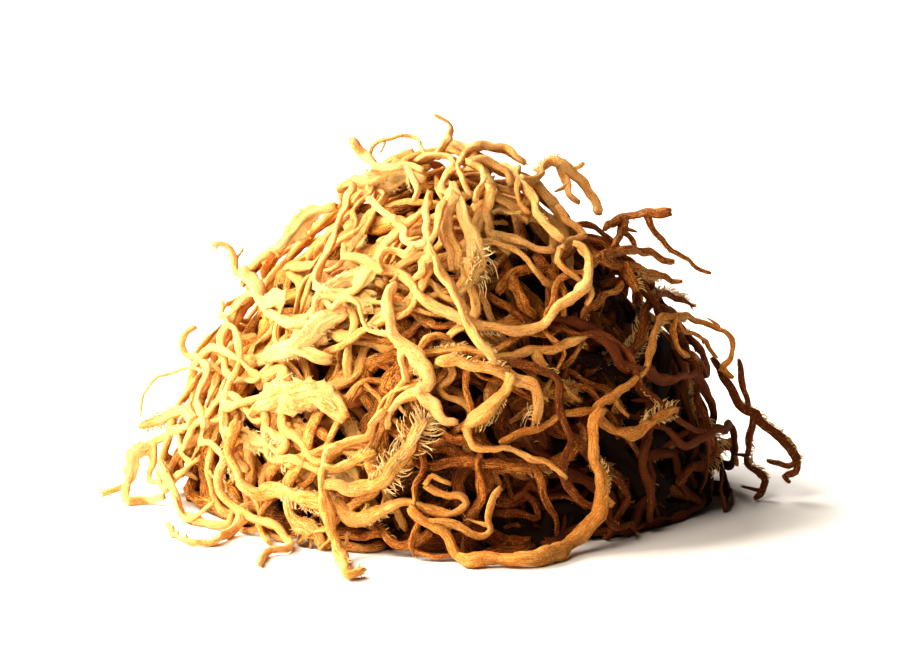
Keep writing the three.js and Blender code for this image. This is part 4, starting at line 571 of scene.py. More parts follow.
def outer_frond(index, random):
    share = (index + 0.5) / OUTER_FRONDS
    climbs = index % 2 == 0
    azimuth = OUTER_FIRST_AZIMUTH + OUTER_AZIMUTH_RANGE * ((index * GOLDEN_SHARE) % 1)
    rise = random(*(OUTER_CLIMBING_RISES if climbs else OUTER_LEVEL_RISES))
    start = direction_at(azimuth, rise)
    stem_radii = [random(*span) for span in OUTER_STEM_RADII]

    def sink_at(_):
        return OUTER_SINK * (1.3 - share)

    climb = random(*(OUTER_CLIMBS if climbs else OUTER_DRIFTS))
    way = climb if azimuth < math.pi / 2 else math.pi - climb
    stem = skin_walk(start, heading_at(start, way), OUTER_STEM_STEPS, OUTER_STEP, sink_at,
        OUTER_STEM_RADIUS, random, OUTER_FRONT_LIMIT)
    frond = Frond(f"outer_frond_{index + 1:02d}", "amber" if index % 3 == 1 else "pale")
    ids = [frond.add_node(base, push) for base, push in stem]
    frond.add_strand(ids, stem_radii)
    for branch in range(OUTER_BRANCHES):
        at = 2 + math.floor((branch + random(0.2, 0.8)) * (OUTER_STEM_STEPS - 3) / OUTER_BRANCHES)
        root = stem[at][1]
        onward = stem[at + 1][0] - stem[at][0]
        onward = unit(onward - root * onward.dot(root))
        side = np.cross(root, onward)
        spread = random(*OUTER_SPREADS) * (1 if branch % 2 == 0 else -1)
        heading = onward * math.cos(spread) + side * math.sin(spread)
        walk = skin_walk(root, heading, OUTER_BRANCH_STEPS, OUTER_STEP, sink_at, OUTER_BRANCH_RADIUS,
            random, OUTER_FRONT_LIMIT)
        ids = [at] + [frond.add_node(base, push) for base, push in walk[1:]]
        frond.add_strand(ids, [random(*span) for span in OUTER_BRANCH_RADII])
    return frond


def diving_walk(start, depths, radii, steps, step, dive, power, random, front_limit):
    """A walk in the depth, deeper at both its ends, and its radius."""
    depth = random(*depths)
    radius = random(*radii)
    heading = heading_at(start, random(0, FULL_TURN))

    def sink_at(share):
        return depth + dive * abs(2 * share - 1) ** power

    return skin_walk(start, heading, steps, step, sink_at, radius, random, front_limit), radius


def inner_frond(random):
    frond = Frond("inner_tangle", "inner")
    for index in range(INNER_STRANDS):
        rise = math.asin(0.04 + 0.92 * ((index * (1 - GOLDEN_SHARE) + 0.2) % 1))
        walk, radius = diving_walk(direction_at(index * GOLDEN_ANGLE, rise), INNER_DEPTHS, INNER_RADII,
            INNER_STEPS, INNER_STEP, INNER_DIVE, 6, random, -HALF_DEPTH)
        frond.add_strand([frond.add_node(base, push) for base, push in walk], [radius, radius])
    return frond


def under_strands():
    strands = []
    for index, (angle, offset, half) in enumerate(UNDER_STRANDS):
        turn = math.radians(angle)
        count = 2 * math.floor(half / UNDER_STEP + 0.5)
        points = []
        for i in range(count + 1):
            along = (i - count / 2) * UNDER_STEP
            across = offset + UNDER_WAVE * math.sin(along / UNDER_WAVELENGTH)
            points.append([
                along * math.cos(turn) - across * math.sin(turn),
                along * math.sin(turn) + across * math.cos(turn),
                UNDER_RISE - UNDER_SETTLING * index,
            ])
        strands.append(np.array(points))
    return strands


def samples_of(frond, lifts, way=1.0):
    """Points along a frond's strands: places, pushes, radii, lifts, nodes to both sides, distances."""
    base = frond.base_array
    push = frond.push_array * way
    places = base + push * lifts[:, None]
    starts = frond.seg_from
    ends = frond.seg_to
    lengths = np.linalg.norm(places[ends] - places[starts], axis=1)
    counts = np.maximum(1, np.ceil(lengths / SAMPLE_STEP).astype(int))
    segment = np.repeat(np.arange(len(starts)), counts + 1)
    first = np.concatenate([[0], np.cumsum(counts + 1)[:-1]])
    piece = np.arange(len(segment)) - first[segment]
    share = piece / counts[segment]
    start = starts[segment]
    end = ends[segment]

    def between(first, second, mix):
        return first * (1 - mix) + second * mix

    return (
        between(places[start], places[end], share[:, None]),
        between(push[start], push[end], share[:, None]),
        between(frond.seg_radii[segment, 0], frond.seg_radii[segment, 1], share),
        between(lifts[start], lifts[end], share),
        start, end, share * lengths[segment], (1 - share) * lengths[segment],
    )


def prepare(frond):
    """Arrays of a frond's nodes and segments, and the distances along its strands."""
    frond.base_array = np.array(frond.base)
    frond.push_array = np.array(frond.push)
    starts = []
    ends = []
    radii = []
    for ids, strand_radii in frond.strands:
        for i in range(1, len(ids)):
            starts.append(ids[i - 1])
            ends.append(ids[i])
            radii.append((strand_radii[i - 1], strand_radii[i]))
    frond.seg_from = np.array(starts)
    frond.seg_to = np.array(ends)
    frond.seg_radii = np.array(radii, dtype=float)
    count = len(frond.base)
    distances = np.full((count, count), np.inf)
    links = [[] for _ in range(count)]
    for start, end in zip(starts, ends):
        length = float(np.linalg.norm(frond.base_array[start] - frond.base_array[end]))
        links[start].append((end, length))
        links[end].append((start, length))
    for origin in range(count):
        row = distances[origin]
        row[origin] = 0
        open_nodes = [origin]
        while open_nodes:
            at = open_nodes.pop()
            for follower, length in links[at]:
                if row[at] + length < row[follower]:
                    row[follower] = row[at] + length
                    open_nodes.append(follower)
    frond.distances = distances


def meeting(places, pushes, radii, pile):
    """For each sample and pile point: how far ahead the point is, and the square of its half chord."""
    reach = radii[:, None] + pile[None, :, 3] + CLEARANCE
    ahead = pushes @ pile[:, :3].T - np.sum(pushes * places, axis=1)[:, None]
    apart = (np.sum(pile[:, :3] ** 2, axis=1)[None, :] + np.sum(places ** 2, axis=1)[:, None]
        - 2 * places @ pile[:, :3].T)
    return ahead, reach ** 2 - (apart - ahead ** 2)


def room_below(samples, pile):
    places, pushes, radii = samples[:3]
    ahead, square = meeting(places, pushes, radii, pile)
    half = np.sqrt(np.maximum(square, 0))
    rooms = np.where((square > 0) & (ahead < 0), -ahead - half, np.inf)
    nearest = rooms.min(axis=1) if len(pile) else np.full(len(places), np.inf)
    room = DEEPEST_SETTLING
    meets = False
    for i in range(len(places)):
        if pushes[i, 2] > 0:
            room = min(room, max(0, (places[i, 2] - radii[i] - FLOOR_GAP) / pushes[i, 2]))
        if nearest[i] <= room:
            room = max(0, nearest[i])
            meets = True
    return room if meets else 0


def lay_frond(frond, pile, look_ahead, way=1.0, furthest=NO_LIMIT):
    """Moves a frond along its push until it is clear of what was laid, but no further than a limit."""
    prepare(frond)
    everything = pile[0]
    lifts = np.zeros(len(frond.base))
    low = frond.base_array.min(axis=0) - PILE_MARGIN
    high = frond.base_array.max(axis=0) + PILE_MARGIN
    inside = np.all((everything[:, :3] >= low) & (everything[:, :3] <= high), axis=1)
    near = everything[inside]
    if way > 0:
        lifts[:] = -room_below(samples_of(frond, lifts), near)
    for turn in range(LAYING_PASSES):
        places, pushes, radii, levels, start, end, back, forth = samples_of(frond, lifts, way)
        look = look_ahead if turn == 0 else 0
        ahead, square = meeting(places, pushes, radii, near)
        half = np.sqrt(np.maximum(square, 0))
        hits = (square > 0) & (ahead > -half) & (ahead < half + look)
        extra = np.where(hits, ahead + half, 0).max(axis=1) if len(near) else np.zeros(len(places))
        raised = extra > 0
        if raised.any():
            away = np.minimum(
                frond.distances[start[raised]] + back[raised, None],
                frond.distances[end[raised]] + forth[raised, None],
            )
            slack = np.maximum(0, away - BEND_PLATEAU)
            target = (levels + extra)[raised, None] - BEND * slack ** 2
            lifts = np.maximum(lifts, target.max(axis=0))
        if not raised.any() or extra.max() < SETTLED:
            break
    lifts = np.minimum(lifts, furthest)
    frond.places = frond.base_array + frond.push_array * way * lifts[:, None]
    samples = samples_of(frond, lifts, way)
    pile[0] = np.concatenate([everything, np.column_stack([samples[0], samples[2]])])


def lay_heap():
    """All fronds of the source, in their laying order, and the pile of points that they fill."""
    inner = inner_frond(seeded_numbers(INNER_SEED))
    prepare(inner)
    inner.places = inner.base_array
    still = samples_of(inner, np.zeros(len(inner.base)))
    rows = [np.column_stack([still[0], still[2]])]
    under = under_strands()
    for points in under:
        for i in range(1, len(points)):
            for share in np.arange(0, 1, 0.125):
                place = points[i - 1] * (1 - share) + points[i] * share
                rows.append(np.array([[*place, UNDER_RADIUS]]))
    pile = [np.concatenate(rows)]
    random = seeded_numbers(OUTER_SEED)
    fronds = []
    for index in range(OUTER_FRONDS):
        frond = outer_frond(index, random)
        lay_frond(frond, pile, 0)
        fronds.append(frond)
    for name, tone, sink, strands in FRONT_FRONDS:
        frond = drawn_frond(name, tone, sink, strands)
        lay_frond(frond, pile, FRONT_LOOK_AHEAD)
        fronds.append(frond)
    return inner, under, fronds, pile


# ---------- fine meshes ----------

# What shapes a fine strand: a pair is the least and the most, a row of pairs is waves, each a
# wavelength and a height.
RING_STEP = 1.0
THICK_SIDES = 13
THIN_SIDES = 9
THICK_STRAND = 0.75
FLOOR_CLEAR = 0.06
HARMONICS = ((1.0, 0.62), (1.71, 0.38))
FINE_WIDTH = 0.9
SWAYS = ((13, 0.3), (5.5, 0.1))
RISES = ((11, 0.18), (5.2, 0.06))
WIDTHS = ((17, 0.08), (6.5, 0.05), (2.6, 0.035))
EASED_LENGTH = 5
BULGE_SPACING = 50
BULGES = (0.1, 0.28)
BULGE_LENGTHS = (0.8, 1.8)
GROOVE_SPACING = 7.0
GROOVE_DEPTH = 0.105
ROUGHNESS_OF_SKIN = 0.022
END_SIZE = 0.7
END_BULGE = 0.15
RAGGEDNESS = (-0.2, 0.75)
ROOT_WEB = 0.4
ROOT_WEB_LENGTH = 2.2
UV_SHIFT = 900

# What grows on it.
FILAMENT_POINTS = 5
HAIR_POINTS = 3
FILAMENT_TAPER = 0.55
FRINGE_RADII = (0.14, 0.25)
BRUSH_RADII = (0.09, 0.15)
HAIR_RADII = (0.06, 0.1)
EDGE_HAIR_RADII = (0.07, 0.12)
EDGE_HAIR_LENGTHS = (0.5, 1.9)
HAIR_LENGTH = 0.8
HAIR_LENGTHS = (0.4, 1.3)
TWIG_LENGTHS = (1.5, 3.8)
TWIG_RADII = (0.4, 0.85)
TWIG_SIDES = 6
SHEET_COLUMNS = 9
SHEET_STEP = 0.6
SHEET_HALF_THICKNESS = 0.11
PLEAT_WIDTHS = (2.2, 3.4)
PLEAT_HEIGHT = 0.1
SHEET_FIBRE = 0.12


def waves(at, rng, *parts):
    """Smooth noise along a strand: each part is a wavelength and a height."""
    total = np.zeros(len(at))
    for wavelength, height in parts:
        for factor, share in HARMONICS:
            angle = 2 * math.pi * factor * at / wavelength * rng.uniform(0.85, 1.15)
            total += height * share * np.sin(angle + rng.uniform(0, FULL_TURN))
    return total


def smooth_line(points, extras, step):
    """A smooth line through points, with a point each step, and the extras between them."""
    points = np.asarray(points, dtype=float)
    extras = np.asarray(extras, dtype=float)
    gaps = np.maximum(np.linalg.norm(np.diff(points, axis=0), axis=1), 1e-6)
    slopes = np.diff(points, axis=0) / gaps[:, None]
    tangents = np.empty_like(points)
    tangents[0] = slopes[0]
    tangents[-1] = slopes[-1]
    if len(points) > 2:
        weight = gaps[:-1] / (gaps[:-1] + gaps[1:])
        tangents[1:-1] = slopes[:-1] * (1 - weight)[:, None] + slopes[1:] * weight[:, None]
    line = []
    between = []
    marks = []
    for i, gap in enumerate(gaps):
        count = max(1, int(round(gap / step)))
        t = (np.arange(count) / count)[:, None]
        line.append((2 * t ** 3 - 3 * t ** 2 + 1) * points[i]
            + (t ** 3 - 2 * t ** 2 + t) * gap * tangents[i]
            + (3 * t ** 2 - 2 * t ** 3) * points[i + 1]
            + (t ** 3 - t ** 2) * gap * tangents[i + 1])
        between.append(extras[i] * (1 - t) + extras[i + 1] * t)
        marks.append(i + t[:, 0])
    line.append(points[-1:])
    between.append(extras[-1:])
    marks.append([len(points) - 1])
    return np.concatenate(line), np.concatenate(between), np.concatenate(marks)


def normed(vectors):
    return vectors / np.maximum(np.linalg.norm(vectors, axis=-1, keepdims=True), 1e-9)


def scaled(vectors, factors):
    return vectors * factors[:, None]


def strewn(vectors, rng, middle, spread):
    """Vectors times random factors, one for each row."""
    return scaled(vectors, rng.normal(middle, spread, len(vectors)))


def tube_quads(starts, rings, sides):
    """The quads of tubes that start at these vertices, ring after ring."""
    first = starts[:, None, None] + (np.arange(rings - 1) * sides)[None, :, None]
    here = np.arange(sides)
    following = (here + 1) % sides
    return np.stack([
        first + here, first + following, first + sides + following, first + sides + here,
    ], axis=-1).reshape(-1, 4)


def add_object(name, data):
    thing = bpy.data.objects.new(name, data)
    bpy.context.scene.collection.objects.link(thing)
    return thing


class Piece:
    """The growing mesh of one piece, in millimetres, with its four-cornered faces before the others."""

    def __init__(self):
        self.places = []
        self.faces = {4: [], 3: []}
        self.tones = []
        self.fibres = []
        self.count = 0

    def add(self, places, faces, tone, fibre, finish=0):
        """Adds vertices, and for each array of faces its corners, their UVs and the finish."""
        for corners, uvs in faces:
            self.faces[corners.shape[1]].append((corners + self.count, uvs, finish))
        self.places.append(places)
        self.tones.append(np.broadcast_to(tone, len(places)))
        self.fibres.append(np.broadcast_to(fibre, len(places)))
        self.count += len(places)

    def make(self, name, materials):
        places = np.concatenate(self.places)
        places[:, 2] = np.maximum(places[:, 2], FLOOR_CLEAR)
        faces = self.faces[4] + self.faces[3]
        corners = np.concatenate([corners.ravel() for corners, _, _ in faces])
        sizes = np.concatenate([np.full(len(corners), corners.shape[1]) for corners, _, _ in faces])
        finishes = np.concatenate([np.full(len(corners), finish) for corners, _, finish in faces])
        uvs = np.concatenate([uvs.reshape(-1, 2) for _, uvs, _ in faces])
        mesh = bpy.data.meshes.new(name)
        mesh.vertices.add(len(places))
        mesh.vertices.foreach_set("co", (places * MM).astype(np.float32).ravel())
        mesh.loops.add(len(corners))
        mesh.loops.foreach_set("vertex_index", corners.astype(np.int32))
        mesh.polygons.add(len(sizes))
        mesh.polygons.foreach_set("loop_start", (np.cumsum(sizes) - sizes).astype(np.int32))
        mesh.polygons.foreach_set("use_smooth", np.ones(len(sizes), dtype=bool))
        for material in materials[: int(finishes.max()) + 1]:
            mesh.materials.append(material)
        mesh.polygons.foreach_set("material_index", finishes.astype(np.int32))
        layer = mesh.uv_layers.new(name="Strand")
        layer.uv.foreach_set("vector", uvs.astype(np.float32).ravel())
        for label, values in (("tone", self.tones), ("fibre", self.fibres)):
            attribute = mesh.attributes.new(label, "FLOAT", "POINT")
            attribute.data.foreach_set("value", np.concatenate(values).astype(np.float32))
        mesh.update(calc_edges=True)
        mesh.validate()
        return add_object(name, mesh)


class Strand:
    """A fine strand: its line, its frame, its radii, and how far along each ring is."""

    def __init__(self, line, radii, pushes, marks):
        self.line = line
        self.radii = radii
        self.marks = marks
        self.push = normed(pushes)
        gaps = np.linalg.norm(np.diff(line, axis=0), axis=1)
        self.at = np.concatenate([[0], np.cumsum(gaps)])
        self.length = self.at[-1]
        self.frame()

    def frame(self):
        self.tangent = normed(np.gradient(self.line, axis=0))
        self.side = normed(np.cross(self.push, self.tangent))
        self.out = np.cross(self.tangent, self.side)

    def spot(self, at):
        """Line point, tangent, side, out and radius at a length along the strand."""
        place = np.interp(at, self.at, np.arange(len(self.at)))
        low = np.minimum(place.astype(int), len(self.at) - 2)
        mix = (place - low)[:, None]

        def between(values):
            return values[low] * (1 - mix) + values[low + 1] * mix

        return (between(self.line), normed(between(self.tangent)), normed(between(self.side)),
            normed(between(self.out)), between(self.radii[:, None])[:, 0])


def fine_strand(points, radii, pushes, rng, step=RING_STEP, waver=1.0):
    """A strand through a frond's nodes, with small wavers and uneven widths."""
    extras = np.column_stack([radii, pushes])
    line, between, marks = smooth_line(points, extras, step)
    strand = Strand(line, between[:, 0], between[:, 1:4], marks)
    ease = np.clip(np.minimum(strand.at, strand.length - strand.at) / EASED_LENGTH, 0, 1)[:, None]
    sway = waves(strand.at, rng, *SWAYS)[:, None] * waver
    rise = waves(strand.at, rng, *RISES)[:, None] * waver
    strand.line = strand.line + ease * (strand.side * sway + strand.out * rise)
    strand.frame()
    width = FINE_WIDTH + waves(strand.at, rng, *WIDTHS)
    for _ in range(rng.poisson(strand.length / BULGE_SPACING)):
        middle = rng.uniform(0, strand.length)
        bulge = rng.uniform(*BULGES)
        width += bulge * np.exp(-((strand.at - middle) / rng.uniform(*BULGE_LENGTHS)) ** 2)
    strand.radii = strand.radii * width
    return strand


def carried_frame(strand):
    """Two directions square to the strand, carried along it without a twist."""
    across = np.empty_like(strand.line)
    across[0] = strand.side[0]
    tangent = strand.tangent
    last = across[0]
    for i in range(1, len(across)):
        t = tangent[i]
        last = last - t * (last[0] * t[0] + last[1] * t[1] + last[2] * t[2])
        last = last / math.sqrt(last[0] ** 2 + last[1] ** 2 + last[2] ** 2)
        across[i] = last
    return across, np.cross(tangent, across)


def grooves(at, sides, rng):
    """Uneven lengthwise grooves: random profiles round the strand that change slowly along it."""
    knots = max(2, int(at[-1] / GROOVE_SPACING) + 2)
    profiles = rng.normal(0, GROOVE_DEPTH, (knots, sides))
    place = at / at[-1] * (knots - 1) * 0.999
    low = place.astype(int)
    mix = (place - low)[:, None]
    mix = mix * mix * (3 - 2 * mix)
    return profiles[low] * (1 - mix) + profiles[low + 1] * mix


def add_body(piece, strand, rng, tone, sides, grows, flat, facing=False):
    """The strand's body: a flattened, turning, grooved section, a web at its root, torn ends."""
    rings = len(strand.line)
    at = strand.at
    across, upward = carried_frame(strand)
    angle = 2 * math.pi * np.arange(sides) / sides
    if facing:
        up_share = np.sum(strand.side * upward, axis=1)
        across_share = np.sum(strand.side * across, axis=1)
        twist = np.unwrap(np.arctan2(up_share, across_share)) + waves(at, rng, (19, 0.4))
    else:
        twist = rng.uniform(0, FULL_TURN) + at * rng.uniform(-0.07, 0.07) + waves(at, rng, (18, 0.8))
    around = angle[None, :] - twist[:, None]
    section = (1 + flat * np.cos(2 * around)
        + 0.05 * np.cos(3 * around + (rng.uniform(0, 6) + waves(at, rng, (12, 1.0)))[:, None])
        + grooves(at, sides, rng))
    section += rng.normal(0, ROUGHNESS_OF_SKIN, section.shape)
    radii = strand.radii.copy()
    tip = np.clip(2.0 * strand.radii, 1.0, 3.6)

    def rounding(distance):
        """How much thinner a strand is this far from its end."""
        short = np.clip(1 - distance / tip, 0, 1)
        return END_SIZE + (1 - END_SIZE) * np.sqrt(np.clip(1 - short ** 2, 0, 1))

    radii *= rounding(strand.length - at)
    if grows:
        radii *= 1 + ROOT_WEB * np.exp(-at / ROOT_WEB_LENGTH)
    else:
        radii *= rounding(at)
    spoke = section * radii[:, None]
    places = (strand.line[:, None, :] + across[:, None, :] * (spoke * np.cos(angle))[:, :, None]
        + upward[:, None, :] * (spoke * np.sin(angle))[:, :, None]).reshape(-1, 3)
    rows = places.reshape(rings, sides, 3)
    rows[-1] += strand.tangent[-1] * (rng.uniform(*RAGGEDNESS, sides) * radii[-1])[:, None]
    if not grows:
        rows[0] -= strand.tangent[0] * (rng.uniform(*RAGGEDNESS, sides) * radii[0])[:, None]
    ends = np.array([
        strand.line[0] - strand.tangent[0] * radii[0] * END_BULGE,
        strand.line[-1] + strand.tangent[-1] * radii[-1] * END_BULGE,
    ])
    girth = 2 * math.pi * float(np.mean(radii))
    u = at + rng.uniform(0, UV_SHIFT)
    v = girth * np.arange(sides + 1) / sides
    grid = np.stack(np.meshgrid(u, v, indexing="ij"), axis=-1)
    uvs = np.stack([grid[:-1, :-1], grid[:-1, 1:], grid[1:, 1:], grid[1:, :-1]], axis=2)
    quads = tube_quads(np.zeros(1, dtype=int), rings, sides)
    last = (rings - 1) * sides
    here = np.arange(sides)
    following = (here + 1) % sides
    start_cap = np.stack([np.full(sides, rings * sides), following, here], axis=-1)
    end_cap = np.stack([np.full(sides, rings * sides + 1), last + here, last + following], axis=-1)
    cap_uvs = np.zeros((2 * sides, 3, 2))
    cap_uvs[:sides, :, 0] = u[0]
    cap_uvs[sides:, :, 0] = u[-1]
    cap_uvs[:, :, 1] = [0, 0.3, 0.6]
    piece.add(np.concatenate([places, ends]),
        [(quads, uvs), (np.concatenate([start_cap, end_cap]), cap_uvs)], tone, 0.0)


def add_filaments(piece, base, way, bend, length, radius, tone, fibre=1.0, points=FILAMENT_POINTS):
    """Fine curved three-sided filaments, one for each row of the arrays."""
    number = len(base)
    if number == 0:
        return
    t = np.linspace(0, 1, points)[None, :, None]
    line = (base[:, None, :] + way[:, None, :] * length[:, None, None] * (t - 0.3 * t ** 3)
        + bend[:, None, :] * length[:, None, None] * t ** 2)
    tangent = normed(np.gradient(line, axis=1))
    helper = np.where(np.abs(way[:, 2:3]) < 0.8, UP[None, :], np.array([[1.0, 0.0, 0.0]]))
    across = normed(np.cross(tangent, helper[:, None, :]))
    upward = np.cross(tangent, across)
    thin = radius[:, None] * (1 - FILAMENT_TAPER * np.linspace(0, 1, points)[None, :] ** 1.5)
    angle = 2 * math.pi * np.arange(3) / 3
    places = (line[:, :, None, :]
        + across[:, :, None, :] * (thin[:, :, None] * np.cos(angle))[..., None]
        + upward[:, :, None, :] * (thin[:, :, None] * np.sin(angle))[..., None]).reshape(-1, 3)
    first = np.arange(number) * points * 3
    top = first + (points - 1) * 3
    quads = tube_quads(first, points, 3)
    triangles = np.concatenate([
        np.stack([first + 2, first + 1, first], axis=-1), np.stack([top, top + 1, top + 2], axis=-1),
    ])
    quad_uvs = np.zeros((len(quads), 4, 2))
    quad_uvs[:, 1, 1] = 0.2
    quad_uvs[:, 2] = [0.5, 0.2]
    quad_uvs[:, 3, 0] = 0.5
    triangle_uvs = np.zeros((len(triangles), 3, 2))
    triangle_uvs[:, 1, 1] = 0.2
    triangle_uvs[:, 2, 0] = 0.2
    along = np.tile(np.repeat(np.linspace(0.55, 1, points), 3), number)
    piece.add(places, [(quads, quad_uvs), (triangles, triangle_uvs)], tone, fibre * along, 1)


def add_comb(piece, strand, rng, start, end, which, length, tone, spacing=0.7, lean=0.12, rows=2):
    """A fringe of filaments along one side of a strand, or towards the outside where which is 0."""
    count = max(2, int(abs(end - start) / spacing)) * rows
    share = (np.arange(count) + rng.uniform(-0.4, 0.4, count)) / count
    at = np.clip(start + (end - start) * share, 0, strand.length)
    line, tangent, side, out, radius = strand.spot(at)
    swing = rng.normal(0, 0.2, count)
    if which == 0:
        sideways = scaled(out, np.cos(swing)) + scaled(side, np.sin(swing))
        level = np.zeros(count)
    else:
        sideways = side * which
        level = rng.uniform(-0.35, 0.75, count)
    leans = lean + rng.normal(0, 0.16, count) + 0.25 * waves(at, rng, (6, 1.0))
    way = normed(sideways + out * level[:, None] * 0.55 + tangent * np.sin(leans)[:, None])
    base = line + way * radius[:, None] * 0.55
    envelope = 0.45 + 0.55 * np.sin(math.pi * np.clip(share, 0.02, 0.98)) ** 0.6
    reach = length * envelope * rng.uniform(0.55, 1.15, count) + radius * 0.45
    bend = strewn(tangent, rng, 0.35, 0.35) + strewn(out, rng, 0.15, 0.25) - UP[None, :] * 0.06
    add_filaments(piece, base, way, bend, reach, rng.uniform(*FRINGE_RADII, count), tone)


def add_loose_comb(piece, strand, rng, first, room, longest, length, tone):
    """A thin fringe somewhere on a strand: where it may start, and its greatest stretch and length."""
    start = rng.uniform(first, strand.length - room)
    add_comb(piece, strand, rng, start, start + rng.uniform(3, longest), rng.choice([-1, 1]),
        rng.uniform(0.9, length), tone, rows=1)


def add_brush(piece, strand, rng, at_end, length, tone, count=26, spread=0.75):
    """A frayed end: filaments that fan out from a strand's end."""
    at = strand.length if at_end else 0.0
    line, tangent, side, out, radius = strand.spot(np.full(count, at))
    onward = tangent if at_end else -tangent
    swing = rng.uniform(-spread, spread, count)
    level = rng.normal(0, 0.25, count)
    way = normed(scaled(onward, np.cos(swing)) + scaled(side, np.sin(swing)) + scaled(out, level))
    base = (line - scaled(onward, rng.uniform(0.0, 1.6, count))
        + scaled(side, np.sin(swing) * radius * 0.6))
    bend = scaled(side, np.sin(swing) * rng.uniform(0, 0.4, count)) + strewn(out, rng, 0, 0.18)
    add_filaments(piece, base, way, bend, length * rng.uniform(0.5, 1.1, count),
        rng.uniform(*BRUSH_RADII, count), tone)


def add_fuzz(piece, strand, rng, density, tone):
    """Short hairs all round a strand, this many for each millimetre."""
    count = rng.poisson(strand.length * density)
    if count == 0:
        return
    at = rng.uniform(0, strand.length, count)
    line, tangent, side, out, radius = strand.spot(at)
    angle = rng.uniform(0, 2 * math.pi, count)
    around = scaled(side, np.cos(angle)) + scaled(out, np.sin(angle))
    way = normed(around + strewn(tangent, rng, 0, 0.6))
    base = line + around * radius[:, None] * 0.75
    bend = strewn(tangent, rng, 0, 0.4)
    add_filaments(piece, base, way, bend, HAIR_LENGTH * rng.uniform(*HAIR_LENGTHS, count),
        rng.uniform(*HAIR_RADII, count), tone, 0.8, HAIR_POINTS)


def add_twig(piece, strand, rng, tone):
    """A short branchlet that grows from a strand."""
    at = rng.uniform(0.1, 0.95) * strand.length
    line, tangent, side, out, radius = strand.spot(np.array([at]))
    which = rng.choice([-1.0, 1.0])
    length = rng.uniform(*TWIG_LENGTHS)
    way = normed(side[0] * which + tangent[0] * rng.uniform(-0.3, 1.1)
        + out[0] * rng.uniform(-0.5, 0.45))
    curl = (tangent[0] * rng.normal(0.4, 0.5) + out[0] * rng.normal(-0.25, 0.3)
        + side[0] * rng.normal(0, 0.5))
    t = np.linspace(0, 1, max(4, int(length / 1.1)))[:, None]
    points = line[0] + way * length * t + curl * length * t ** 2
    thick = min(radius[0] * 0.75, rng.uniform(*TWIG_RADII))
    radii = thick * (1 - 0.55 * t[:, 0])
    twig = fine_strand(points, radii, np.repeat(out, len(points), axis=0), rng, step=0.8, waver=0.7)
    add_body(piece, twig, rng, tone, TWIG_SIDES, grows=True, flat=0.12)
    if rng.random() < 0.3:
        add_brush(piece, twig, rng, True, 1.6, tone, count=7)


